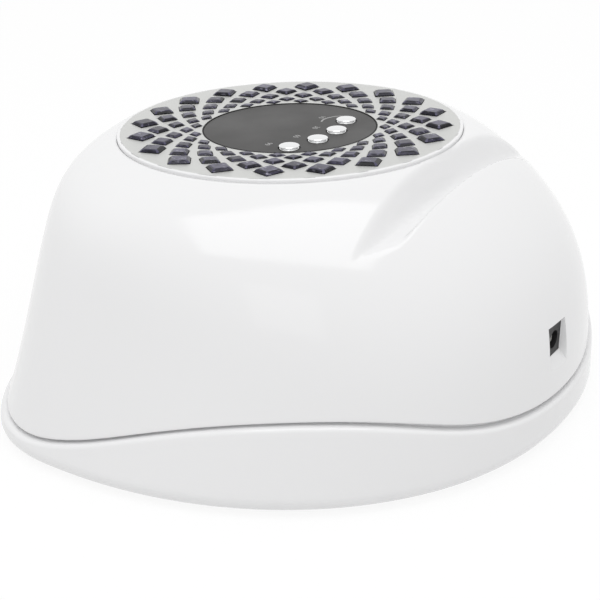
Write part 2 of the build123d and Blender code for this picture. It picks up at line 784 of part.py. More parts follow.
with BuildPart() as carrier_screws:
    with BuildSketch(disc_plane(-deck_drop)):
        with PolarLocations(carrier_screw_circle, 4, carrier_screw_angle):
            Circle(carrier_boss_radius + 1.4)
    extrude(amount=-head_height)
    with BuildSketch(disc_plane(-deck_drop)):
        with PolarLocations(carrier_screw_circle, 4, carrier_screw_angle):
            Circle(screw_radius)
    extrude(amount=screw_grip)
finish_piece(carrier_screws, "carrier_screws")

# Smoked gem moulding: one ring plate that carries a hundred faceted points
trim_inner = panel_radius + gasket_width
trim_outer = carrier_radius - carrier_wall - slip
with BuildPart() as gem_insert:
    with BuildSketch(disc_plane(-seat_drop + carrier_floor)):
        Circle(trim_outer)
        Circle(trim_inner, mode=Mode.SUBTRACT)
    extrude(amount=gem_plate_thickness)
    with BuildSketch(disc_plane(-trim_thickness)):
        for radius, first, across, along in ring_layout():
            with PolarLocations(radius, gems_per_ring, first):
                Polygon(*gem_outline(across, along))
    extrude(amount=trim_thickness + gem_girdle_rise)
    for radius, first, across, along in ring_layout():
        inner_size = across * along / 2 / math.hypot(across, along)
        height = gem_rise * across / outer_gem_size
        slope = math.degrees(math.atan2(inner_size * (1 - gem_table), height))
        with BuildSketch(disc_plane(gem_girdle_rise)):
            with PolarLocations(radius, gems_per_ring, first):
                Polygon(*gem_outline(across, along))
        extrude(amount=height, taper=slope)
finish_piece(gem_insert, "gem_insert")

# Silver trim: a thin ring pierced by a hundred windows for the gems
with BuildPart() as trim_disc:
    with BuildSketch(disc_plane(-trim_thickness)):
        Circle(trim_outer)
        Circle(trim_inner, mode=Mode.SUBTRACT)
        for radius, first, across, along in ring_layout():
            with PolarLocations(radius, gems_per_ring, first):
                outline = gem_outline(across + 2 * gem_gap, along + 2 * gem_gap)
                Polygon(*outline, mode=Mode.SUBTRACT)
    extrude(amount=trim_thickness)
finish_piece(trim_disc, "trim_disc")

# Dark control panel with its thin black gasket
with BuildPart() as control_panel:
    with BuildSketch(disc_plane(panel_bottom)):
        Circle(panel_radius)
        with Locations(*button_spots()):
            Circle(button_radius + slip, mode=Mode.SUBTRACT)
    extrude(amount=panel_thickness)
finish_piece(control_panel, "control_panel")

with BuildPart() as panel_gasket:
    with BuildSketch(disc_plane(panel_bottom)):
        Circle(trim_inner)
        Circle(panel_radius, mode=Mode.SUBTRACT)
    extrude(amount=panel_thickness + 0.2)
finish_piece(panel_gasket, "panel_gasket")

# Four chromed dome buttons, each with the plunger of the switch that it presses
for spot, name in zip(button_spots(), button_names):
    spot_x, spot_y = spot
    dome_radius = (button_radius ** 2 + button_rise ** 2) / (2 * button_rise)
    with BuildPart() as button:
        with BuildSketch(disc_plane(flange_bottom)):
            with Locations(spot):
                Circle(button_flange_radius)
        extrude(amount=button_flange)
        with BuildSketch(disc_plane(flange_bottom)):
            with Locations(spot):
                Circle(button_radius)
        extrude(amount=-flange_bottom - panel_drop + button_travel)
        crown = disc_plane(-panel_drop + button_travel) * Location((spot_x, spot_y, 0))
        with BuildSketch(Plane(crown.position, crown.x_axis.direction, -crown.y_axis.direction)):
            with BuildLine():
                Line((0, 0), (button_radius, 0))
                RadiusArc((button_radius, 0), (0, button_rise), -dome_radius)
                Line((0, button_rise), (0, 0))
            make_face()
        revolve(axis=Axis(crown.position, crown.z_axis.direction))
    finish_piece(button, f"button_{name}")

    with BuildPart() as plunger:
        with BuildSketch(disc_plane(flange_bottom)):
            with Locations(spot):
                Circle(plunger_radius)
        extrude(amount=-plunger_reach)
    finish_piece(plunger, f"switch_plunger_{name}")

# Push switches on the control board
with BuildPart() as push_switches:
    with BuildSketch(disc_plane(board_top)):
        with Locations(*button_spots()):
            Rectangle(switch_size, switch_size)
    extrude(amount=switch_height)
    with BuildSketch(disc_plane(switch_top)):
        with Locations(*button_spots()):
            Circle(plunger_radius + slip)
    extrude(amount=-(switch_top - plunger_bottom) - button_travel - slip, mode=Mode.SUBTRACT)
finish_piece(push_switches, "push_switches")

# Two-digit display under the panel
with BuildPart() as display_module:
    with BuildSketch(disc_plane(board_top)):
        with Locations((0, -8)):
            Rectangle(display_width, display_depth)
    extrude(amount=panel_bottom - slip - board_top)
finish_piece(display_module, "display_module")

# Control board on the carrier's posts
with BuildPart() as control_board:
    with BuildSketch(disc_plane(board_top)):
        Circle(control_board_radius)
        with Locations(*post_spots):
            Circle(screw_radius + slip, mode=Mode.SUBTRACT)
    extrude(amount=-board_thickness)
    with BuildSketch(disc_plane(board_top - board_thickness)):
        with Locations((0, -4)):
            Rectangle(10, 6)
        with Locations((0, 18)):
            Rectangle(12, 5)
        with Locations((-16, -4), (16, -4)):
            Rectangle(7, 5)
    extrude(amount=-2.2)
finish_piece(control_board, "control_board")

with BuildPart() as control_screws:
    with BuildSketch(disc_plane(board_top - board_thickness)):
        with Locations(*post_spots):
            Circle(head_radius)
    extrude(amount=-head_height)
    with BuildSketch(disc_plane(board_top - board_thickness)):
        with Locations(*post_spots):
            Circle(screw_radius)
    extrude(amount=board_thickness + screw_grip)
finish_piece(control_screws, "control_board_screws")

# Power socket on its small board at the rear
with BuildPart() as dc_jack:
    with BuildSketch(Plane.XZ.offset(-jack_face_y)):
        with Locations((jack_x, jack_height)):
            Rectangle(jack_width, jack_tall)
    extrude(amount=jack_length)
    with BuildSketch(Plane.XZ.offset(-jack_face_y)):
        with Locations((jack_x, jack_height)):
            Circle(jack_hole_radius)
    extrude(amount=jack_hole_depth, mode=Mode.SUBTRACT)
    with BuildSketch(Plane.XZ.offset(-jack_face_y)):
        with Locations((jack_x, jack_height)):
            Circle(jack_tail_radius)
    extrude(amount=jack_length, mode=Mode.SUBTRACT)
finish_piece(dc_jack, "dc_jack")

with BuildPart() as dc_jack_pin:
    with BuildSketch(Plane.XZ.offset(-jack_face_y + jack_pin_recess)):
        with Locations((jack_x, jack_height)):
            Circle(jack_pin_radius)
    extrude(amount=jack_hole_depth - jack_pin_recess)
    with BuildSketch(Plane.XZ.offset(-jack_face_y + jack_hole_depth)):
        with Locations((jack_x, jack_height)):
            Circle(jack_tail_radius)
    extrude(amount=jack_length - jack_hole_depth)
    with BuildSketch(Plane.XZ.offset(-jack_face_y + jack_length)):
        with Locations((jack_x, jack_height - 2)):
            Rectangle(3.0, 7.0)
    extrude(amount=0.6)
finish_piece(dc_jack_pin, "dc_jack_pin")

with BuildPart() as jack_board:
    with BuildSketch(Plane.XY.offset(jack_board_bottom)):
        with Locations((jack_x, jack_face_y - shell_wall - slip - (shelf_length - shell_wall) / 2)):
            Rectangle(shelf_width, shelf_length - shell_wall)
        with Locations(*jack_screw_spots):
            Circle(screw_radius + slip, mode=Mode.SUBTRACT)
    extrude(amount=board_thickness)
finish_piece(jack_board, "jack_board")

with BuildPart() as jack_screws:
    with BuildSketch(Plane.XY.offset(jack_board_bottom + board_thickness)):
        with Locations(*jack_screw_spots):
            Circle(head_radius)
    extrude(amount=head_height)
    with BuildSketch(Plane.XY.offset(jack_board_bottom + board_thickness)):
        with Locations(*jack_screw_spots):
            Circle(screw_radius)
    extrude(amount=-board_thickness - shell_wall)
finish_piece(jack_screws, "jack_board_screws")
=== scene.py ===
"""Looks of a domed nail-gel lamp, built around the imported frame: the glossy white moulding with its
wavy seam and finger groove, the silver disc with smoked step-cut gems, chrome buttons, the white hood
and the slide-out tray.  Forms are worked out in millimetres and put into meshes in metres."""
import logging
import math
from dataclasses import dataclass
from enum import Enum
from typing import Optional

import bmesh
import bpy
import numpy as np
from mathutils import Matrix, Vector


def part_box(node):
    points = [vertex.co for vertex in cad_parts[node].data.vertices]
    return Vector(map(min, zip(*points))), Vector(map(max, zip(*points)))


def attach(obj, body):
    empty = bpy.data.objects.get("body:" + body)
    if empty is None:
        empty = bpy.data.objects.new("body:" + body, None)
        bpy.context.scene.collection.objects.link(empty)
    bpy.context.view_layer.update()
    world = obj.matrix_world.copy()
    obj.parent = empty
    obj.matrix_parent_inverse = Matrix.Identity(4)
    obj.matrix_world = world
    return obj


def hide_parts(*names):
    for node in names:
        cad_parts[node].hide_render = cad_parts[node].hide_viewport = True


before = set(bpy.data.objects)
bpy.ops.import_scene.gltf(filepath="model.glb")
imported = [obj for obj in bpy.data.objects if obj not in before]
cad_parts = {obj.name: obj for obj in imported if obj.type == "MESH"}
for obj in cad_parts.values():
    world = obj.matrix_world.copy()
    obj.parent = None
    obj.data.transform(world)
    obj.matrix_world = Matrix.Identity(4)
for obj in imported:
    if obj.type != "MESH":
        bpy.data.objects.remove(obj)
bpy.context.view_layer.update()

logging.basicConfig(level=logging.INFO, format="%(name)s: %(message)s")
log = logging.getLogger("nail_lamp")

MM = 0.001
Array = np.ndarray


class Body(Enum):
    """Bodies of the frame that pieces ride on."""

    HOUSING = "housing"
    TRAY = "tray"


class Slot(Enum):
    """Names of the record's material slots; the pieces here are dressed from Finishes instead."""

    SHELL = "white_gloss"
    HOOD = "hood_white"
    GEM = "gem_smoke"
    SILVER = "trim_silver"
    PANEL = "panel_grey"
    GASKET = "gasket_black"
    LENS = "led_lens"
    BUTTON = "button_chrome"


# Meshes

def grid_faces(rows: int, columns: int, wrap_rows: bool, wrap_columns: bool) -> Array:
    """Corner numbers of the quads of a grid of points.

    Args:
        rows: points along the first parameter.
        columns: points along the second parameter.
        wrap_rows: join the last row to the first.
        wrap_columns: join the last column to the first.

    Returns:
        One row of four point numbers for each quad.
    """
    r = np.arange(rows if wrap_rows else rows - 1)
    c = np.arange(columns if wrap_columns else columns - 1)
    row, column = np.meshgrid(r, c, indexing="ij")
    below, right = (row + 1) % rows, (column + 1) % columns
    quads = np.stack(
        [row * columns + column, below * columns + column, below * columns + right, row * columns + right], -1
    )
    return quads.reshape(-1, 4)


def new_piece(name: str, points: Array, faces: list, smooth: bool = True) -> bpy.types.Object:
    """Object at the origin from points in millimetres.

    Args:
        name: the piece's name.
        points: one row of x, y and z for each point.
        faces: point numbers of each face.
        smooth: shade the faces smooth.

    Returns:
        The new object, linked to the scene.
    """
    mesh = bpy.data.meshes.new(name)
    mesh.from_pydata((np.asarray(points, float).reshape(-1, 3) * MM).tolist(), [], [list(f) for f in faces])
    mesh.validate()
    mesh.polygons.foreach_set("use_smooth", np.full(len(mesh.polygons), smooth))
    piece = bpy.data.objects.new(name, mesh)
    bpy.context.scene.collection.objects.link(piece)
    return piece


def tidy_mesh(piece: bpy.types.Object, angle: float = 35.0, weld: float = 1e-6) -> bpy.types.Object:
    """Merge doubled points, turn the faces outwards and keep edges sharper than an angle crisp.

    Args:
        piece: the piece to work on.
        angle: edges bent more than this many degrees stay sharp.
        weld: points nearer than this many metres are merged.

    Returns:
        The same piece.
    """
    work = bmesh.new()
    work.from_mesh(piece.data)
    bmesh.ops.remove_doubles(work, verts=work.verts, dist=weld)
    bmesh.ops.recalc_face_normals(work, faces=work.faces)
    work.to_mesh(piece.data)
    work.free()
    piece.data.shade_smooth()
    piece.data.set_sharp_from_angle(angle=math.radians(angle))
    return piece


def cut(piece: bpy.types.Object, tool: bpy.types.Object, operation: str = "DIFFERENCE") -> bpy.types.Object:
    """Cut, join or keep the overlap of a piece with a tool, then throw the tool away.

    Args:
        piece: the piece that changes.
        tool: the closed mesh that it is cut with.
        operation: DIFFERENCE, UNION or INTERSECT.

    Returns:
        The changed piece.
    """
    modifier = piece.modifiers.new("cut", "BOOLEAN")
    modifier.object = tool
    modifier.operation = operation
    modifier.solver = "EXACT"
    graph = bpy.context.evaluated_depsgraph_get()
    mesh = bpy.data.meshes.new_from_object(piece.evaluated_get(graph))
    piece.modifiers.clear()
    old = piece.data
    piece.data = mesh
    mesh.name = piece.name
    bpy.data.meshes.remove(old)
    spare = tool.data
    bpy.data.objects.remove(tool)
    bpy.data.meshes.remove(spare)
    return piece


def join(name: str, parts: list[bpy.types.Object]) -> bpy.types.Object:
    """Join several meshes into one piece.

    Args:
        name: the joined piece's name.
        parts: the meshes, which are used up.

    Returns:
        The joined piece.
    """
    work = bmesh.new()
    for part in parts:
        work.from_mesh(part.data)
        spare = part.data
        bpy.data.objects.remove(part)
        bpy.data.meshes.remove(spare)
    mesh = bpy.data.meshes.new(name)
    work.to_mesh(mesh)
    work.free()
    piece = bpy.data.objects.new(name, mesh)
    bpy.context.scene.collection.objects.link(piece)
    return piece


def box_tool(low: tuple, high: tuple) -> bpy.types.Object:
    """Closed box between two corners in millimetres, used as a cutting tool."""
    across, along, up = zip(low, high)
    corners = np.array([[x, y, z] for x in across for y in along for z in up])
    faces = [(0, 1, 3, 2), (4, 6, 7, 5), (0, 4, 5, 1), (2, 3, 7, 6), (0, 2, 6, 4), (1, 5, 7, 3)]
    return new_piece("tool", corners, faces, smooth=False)


def ring_solid(name: str, rings: Array, ends: bool = False) -> bpy.types.Object:
    """Surface through closed rings of points.

    Args:
        name: the piece's name.
        rings: array of rings, points on each, and x, y and z.
        ends: close the first and last ring with a face, otherwise join them to each other.

    Returns:
        The closed piece with its faces outwards.
    """
    count, around = rings.shape[:2]
    faces = grid_faces(count, around, not ends, True).tolist()
    if ends:
        faces += [list(range(around)), list(range((count - 1) * around, count * around))]
    return new_piece(name, rings, faces)


def revolve(name: str, profile: Array, centre: Array, turn: Array, steps: int) -> bpy.types.Object:
    """Profile of radius and height carried round an axis, with a flat face over each end.

    Args:
        name: the piece's name.
        profile: rows of radius and height in millimetres.
        centre: the axis's foot.
        turn: matrix whose columns are the two directions across the axis and the axis.
        steps: facets round the axis.

    Returns:
        The revolved piece.
    """
    angle = np.linspace(0, 2 * np.pi, steps, endpoint=False)
    radius, height = profile[:, 0][:, None], profile[:, 1][:, None]
    local = np.stack([radius * np.cos(angle), radius * np.sin(angle), height + 0 * angle], -1)
    return tidy_mesh(ring_solid(name, centre + local @ turn.T, ends=True))


def even_shading(piece: bpy.types.Object) -> None:
    """Let the large faces of a piece set its smooth shading, with the sharp edges kept."""
    even = piece.modifiers.new("even", "WEIGHTED_NORMAL")
    even.keep_sharp = True


def copy_node(node: str, name: str, angle: float = 30.0) -> bpy.types.Object:
    """Copy of a CAD node with its points merged and its curved faces smooth.

    Args:
        node: the node that the copy stands for.
        name: the copy's name.
        angle: edges bent more than this many degrees stay sharp.

    Returns:
        The copy.
    """
    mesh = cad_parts[node].data.copy()
    mesh.name = name
    mesh.materials.clear()
    piece = bpy.data.objects.new(name, mesh)
    bpy.context.scene.collection.objects.link(piece)
    tidy_mesh(piece, angle, weld=2e-6)
    even_shading(piece)
    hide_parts(node)
    return piece


# Finishes

class Tree:
    """Short way to add nodes to a node tree."""

    def __init__(self, tree: bpy.types.NodeTree) -> None:
        """Start with the tree emptied."""
        self.tree = tree
        self.tree.nodes.clear()

    def link(self, start: bpy.types.NodeSocket, end: bpy.types.NodeSocket) -> None:
        """Join two sockets."""
        self.tree.links.new(start, end)

    def add(self, kind: str, inputs: Optional[dict] = None, **settings: object) -> bpy.types.Node:
        """Add a node.

        Args:
            kind: the node's type.
            inputs: values or sockets by input name or number.
            settings: the node's own settings.

        Returns:
            The new node.
        """
        node = self.tree.nodes.new(kind)
        for key, value in settings.items():
            setattr(node, key, value)
        for key, value in (inputs or {}).items():
            if isinstance(value, bpy.types.NodeSocket):
                self.link(value, node.inputs[key])
            else:
                node.inputs[key].default_value = value
        return node

    def seen(self) -> bpy.types.NodeSocket:
        """1 where the camera, gloss or glass looks, and 0 where light is gathered."""
        ray = self.add("ShaderNodeLightPath")
        either = ray.outputs["Is Camera Ray"]
        for kind in ("Is Glossy Ray", "Is Transmission Ray"):
            inputs = {0: either, 1: ray.outputs[kind]}
            either = self.add("ShaderNodeMath", inputs, operation="MAXIMUM").outputs[0]
        return either


class Nodes(Tree):
    """Node tree of one material, with its output and its shader."""

    def __init__(self, name: str) -> None:
        """Start a material that holds the output and the shader alone."""
        self.material = bpy.data.materials.new(name)
        self.material.use_nodes = True
        super().__init__(self.material.node_tree)
        self.output = self.add("ShaderNodeOutputMaterial")
        self.shader = self.add("ShaderNodeBsdfPrincipled")
        self.link(self.shader.outputs[0], self.output.inputs[0])

    def set(self, **values: object) -> None:
        """Set the shader's own sockets, an underscore standing for a space."""
        for key, value in values.items():
            self.shader.inputs[key.replace("_", " ")].default_value = value

    def place(self, scale: tuple = (1.0, 1.0, 1.0)) -> bpy.types.NodeSocket:
        """Object coordinates, stretched along the axes."""
        where = self.add("ShaderNodeTexCoord").outputs["Object"]
        return self.add("ShaderNodeMapping", {"Vector": where, "Scale": scale}).outputs[0]

    def noise(self, scale: float, detail: float = 3.0,
              stretch: tuple = (1.0, 1.0, 1.0)) -> bpy.types.NodeSocket:
        """Noise on object coordinates, in patterns per metre."""
        inputs = {"Vector": self.place(stretch), "Scale": scale, "Detail": detail}
        return self.add("ShaderNodeTexNoise", inputs).outputs["Fac"]

    def ramp(self, value: bpy.types.NodeSocket, low: float, high: float,
             out_low: float, out_high: float) -> bpy.types.NodeSocket:
        """Map a value from one range to another and hold it there."""
        inputs = {"Value": value, "From Min": low, "From Max": high, "To Min": out_low, "To Max": out_high}
        return self.add("ShaderNodeMapRange", inputs).outputs[0]

    def mix(self, share: bpy.types.NodeSocket, first: object, second: object) -> bpy.types.NodeSocket:
        """Blend two colours."""
        node = self.add("ShaderNodeMix", {"Factor": share}, data_type="RGBA")
        for index, value in ((6, first), (7, second)):
            if isinstance(value, bpy.types.NodeSocket):
                self.link(value, node.inputs[index])
            else:
                node.inputs[index].default_value = value
        return node.outputs[2]

    def bump(self, height: bpy.types.NodeSocket, strength: float, distance: float,
             edge: float = 0.0) -> None:
        """Bump the surface, on edges softened by a small radius."""
        inputs = {"Height": height, "Strength": strength, "Distance": distance}
        if edge:
            inputs["Normal"] = self.add("ShaderNodeBevel", {"Radius": edge}, samples=4).outputs[0]
        self.link(self.add("ShaderNodeBump", inputs).outputs[0], self.shader.inputs["Normal"])


def rgb(red: float, green: float, blue: float) -> tuple:
    """Linear colour with full alpha."""
    return (red, green, blue, 1.0)


@dataclass(frozen=True)
class Moulding:
    """Moulded plastic: faint colour drift, sink marks and a fine skin."""

    name: str
    colour: tuple
    drift: float = 0.02
    roughness: float = 0.16
    skin_scale: float = 900.0
    skin: float = 0.03
    level: float = 0.5

    def build(self) -> bpy.types.Material:
        """Make the material.

        Returns:
            The finished material.
        """
        n = Nodes(self.name)
        dark = tuple(c * (1 - self.drift) for c in self.colour)
        base = n.mix(n.ramp(n.noise(9.0, 2.0), 0.35, 0.65, 0.0, 1.0), rgb(*dark), rgb(*self.colour))
        n.link(base, n.shader.inputs["Base Color"])
        patch = n.ramp(n.noise(26.0, 4.0), 0.3, 0.7, self.roughness * 0.8, self.roughness * 1.25)
        n.link(patch, n.shader.inputs["Roughness"])
        n.set(IOR=1.5, Specular_IOR_Level=self.level)
        n.bump(n.noise(self.skin_scale, 2.0), self.skin, 0.0004)
        return n.material


@dataclass(frozen=True)
class Metal:
    """Metal or metal-coated plastic with fine lines or pearl grain."""

    name: str
    colour: tuple
    roughness: float = 0.25
    metallic: float = 1.0
    grain: float = 0.06
    grain_scale: float = 1800.0
    stretch: tuple = (1.0, 1.0, 1.0)
    edge: float = 0.0

    def build(self) -> bpy.types.Material:
        """Make the material.

        Returns:
            The finished material.
        """
        n = Nodes(self.name)
        grain = n.noise(self.grain_scale, 3.0, self.stretch)
        dark = tuple(c * (1 - self.grain) for c in self.colour)
        n.link(n.mix(grain, rgb(*dark), rgb(*self.colour)), n.shader.inputs["Base Color"])
        patch = n.ramp(grain, 0.3, 0.7, self.roughness * 0.75, self.roughness * 1.3)
        n.link(patch, n.shader.inputs["Roughness"])
        n.set(Metallic=self.metallic)
        n.bump(grain, 0.05, 0.00005, self.edge)
        return n.material


@dataclass(frozen=True)
class Smoke:
    """Smoked clear plastic with cut faces; each face carries painted reflection of its own strength, with a
    few painted glints on top.
    """

    name: str
    deep: tuple = (0.003, 0.003, 0.006)
    # Next two: colours of the painted reflection inside the cut faces and of the painted glints.
    painted_inner_light: tuple = (0.085, 0.08, 0.135)
    painted_glint: tuple = (0.42, 0.41, 0.5)
    roughness: float = 0.06

    def build(self) -> bpy.types.Material:
        """Make the material.

        Returns:
            The finished material.
        """
        n = Nodes(self.name)
        # Painted reflection: the per-face strength times noise lifts the deep smoke colour towards a pale
        # inner light.
        painted_sheen = n.add("ShaderNodeAttribute", attribute_name="painted_sheen").outputs["Fac"]
        sheen_cloud = n.add("ShaderNodeMath", {0: painted_sheen, 1: n.noise(520.0, 4.0)}, operation="MULTIPLY").outputs[0]
        body = n.mix(n.ramp(sheen_cloud, 0.08, 0.5, 0.0, 1.0), rgb(*self.deep), rgb(*self.painted_inner_light))
        # Painted glints: sparse noise streaks, scaled by the per-face strength, mixed to a pale glint colour.
        glint_streak = n.ramp(n.noise(900.0, 3.0, (1.0, 0.45, 1.0)), 0.6, 0.68, 0.0, 0.75)
        painted_spark = n.add("ShaderNodeMath", {0: painted_sheen, 1: glint_streak}, operation="MULTIPLY").outputs[0]
        n.link(n.mix(painted_spark, body, rgb(*self.painted_glint)), n.shader.inputs["Base Color"])
        n.link(n.ramp(n.noise(300.0), 0.3, 0.7, self.roughness * 0.6, self.roughness * 1.6),
               n.shader.inputs["Roughness"])
        n.set(IOR=1.5, Specular_IOR_Level=0.2)
        n.bump(n.noise(1500.0, 2.0), 0.04, 0.00008)
        return n.material


@dataclass(frozen=True)
class Clear:
    """Clear or tinted lens."""

    name: str
    colour: tuple
    roughness: float = 0.04
    transmission: float = 0.92

    def build(self) -> bpy.types.Material:
        """Make the material.

        Returns:
            The finished material.
        """
        n = Nodes(self.name)
        shade = tuple(c * 0.93 for c in self.colour)
        n.link(n.mix(n.noise(500.0), rgb(*shade), rgb(*self.colour)), n.shader.inputs["Base Color"])
        n.link(n.ramp(n.noise(200.0), 0.3, 0.7, self.roughness * 0.6, self.roughness * 1.5),
               n.shader.inputs["Roughness"])
        n.set(IOR=1.49, Transmission_Weight=self.transmission)
        return n.material


class Finishes:
    """Every finish of the lamp, made once."""

    def __init__(self) -> None:
        """Build the materials."""
        self.shell = Moulding("white_abs", (0.86, 0.86, 0.865), 0.012, 0.13, 700.0, 0.012).build()
        self.hood = Moulding("hood_white", (0.88, 0.88, 0.88), 0.015, 0.1, 700.0, 0.02).build()
        self.silver = Metal("silver_pearl", (0.63, 0.635, 0.62), 0.38, 0.6, 0.03, 6000.0,
                            edge=0.00012).build()
        self.gem = Smoke("smoked_gem_painted_sheen").build()
        self.panel = Moulding("panel_grey", (0.062, 0.061, 0.06), 0.06, 0.42, 2600.0, 0.02,
                              level=0.16).build()
        self.gasket = Moulding("gasket_black", (0.006, 0.006, 0.006), 0.2, 0.5, 2000.0, 0.1,
                               level=0.08).build()
        self.chrome = Metal("button_chrome", (0.86, 0.865, 0.87), 0.035, 1.0, 0.01, 400.0).build()
        self.ink = Moulding("label_grey", (0.4, 0.4, 0.4), 0.1, 0.4, 2000.0, 0.02).build()
        self.rubber = Moulding("foot_rubber", (0.018, 0.018, 0.018), 0.25, 0.7, 1500.0, 0.2).build()
        self.screw = Metal("screw_steel", (0.52, 0.52, 0.53), 0.32, 1.0, 0.15, 900.0, (1, 1, 0.1)).build()
        self.magnet = Metal("magnet_nickel", (0.62, 0.61, 0.58), 0.22, 1.0, 0.08).build()
        self.board = Moulding("board_mask_white", (0.74, 0.75, 0.74), 0.05, 0.35, 1200.0, 0.08).build()
        self.board_green = Moulding("board_mask_green", (0.02, 0.11, 0.04), 0.15, 0.35, 1200.0, 0.08).build()
        self.block = Moulding("component_black", (0.02, 0.02, 0.022), 0.2, 0.5, 1500.0, 0.15).build()
        self.jack = Moulding("jack_black", (0.022, 0.022, 0.023), 0.2, 0.45, 1500.0, 0.15, level=0.25).build()
        self.plunger = Moulding("plunger_acetal", (0.72, 0.71, 0.68), 0.04, 0.4, 900.0, 0.05).build()
        self.lens = Clear("lens_clear", (0.93, 0.92, 0.98)).build()
        self.window = Clear("sensor_window", (0.1, 0.03, 0.05), 0.05, 0.5).build()


def dress(piece: bpy.types.Object, material: bpy.types.Material) -> None:
    """Give a piece one material."""
    if piece.material_slots:
        for slot in piece.material_slots:
            slot.material = material
    else:
        piece.data.materials.append(material)


def settle(piece: bpy.types.Object, material: bpy.types.Material,
           body: str = Body.HOUSING.value) -> bpy.types.Object:
    """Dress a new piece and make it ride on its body.

    Args:
        piece: the finished piece.
        material: its finish.
        body: the body that it moves with.

    Returns:
        The same piece.
    """
    dress(piece, material)
    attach(piece, body)
    log.info("%s: %d faces, on %s", piece.name, len(piece.data.polygons), body)
    return piece


# Forms that several pieces share

def natural_spline(knots: Array, values: Array, at: Array) -> Array:
    """Cubic curve through points, straight at both ends.

    The bend is nought at both ends.  At each inner point the bends of the point and its two
    neighbours, weighted by the steps between them, add up to six times the change of slope there.

    Args:
        knots: places of the points, rising.
        values: heights of the points.
        at: where the curve is wanted.

    Returns:
        The curve's heights.
    """
    step = np.diff(knots)
    slope = np.diff(values) / step
    system = np.eye(len(knots))
    right = np.zeros(len(knots))
    for i in range(1, len(knots) - 1):
        system[i, i - 1:i + 2] = (step[i - 1], 2 * (step[i - 1] + step[i]), step[i])
        right[i] = 6 * (slope[i] - slope[i - 1])
    bend = np.linalg.solve(system, right)
    i = np.clip(np.searchsorted(knots, at) - 1, 0, len(knots) - 2)
    x, h = at - knots[i], step[i]
    rise = slope[i] - h * (2 * bend[i] + bend[i + 1]) / 6
    return values[i] + x * (rise + x * (bend[i] / 2 + x * (bend[i + 1] - bend[i]) / (6 * h)))


def soft_min(first: Array, second: Array, radius: Array) -> Array:
    """Lower of two heights, with the corner between them rounded over a radius.

    The heights are mixed by shares that run from nought to one while their gap runs from minus the
    radius to the radius; the radius times both shares comes off.

    Args:
        first: the one height.
        second: the other height.
        radius: width of the rounding.

    Returns:
        The rounded lower height.
    """
    share = np.clip(0.5 + 0.5 * (second - first) / radius, 0, 1)
    return second * (1 - share) + first * share - radius * share * (1 - share)


@dataclass(frozen=True)
class GrooveForm:
    """Finger groove behind the disc, across its length; slopes are rise over run."""

    depth: float = 11.0
    bow: float = 330.0
    half: float = 58.0
    tip_share: float = 1.15
    swing: float = 2.9
    start: float = 0.3
    foot: float = 3.4
    heel: float = 8.6
    wall_slope: float = 2.5
    floor_slope: float = 0.07
    bank_slope: float = 2.6
    bank_lift: float = 0.4
    heel_round: float = 1.6
    foot_round: float = 5.0
    foot_round_loss: float = 3.6


@dataclass(frozen=True)
class SideForm:
    """How a side of the dome rises: its lean, how late it turns inwards and how round that turn is."""

    lean: float
    brow: float | Array
    roll: float = 1.0


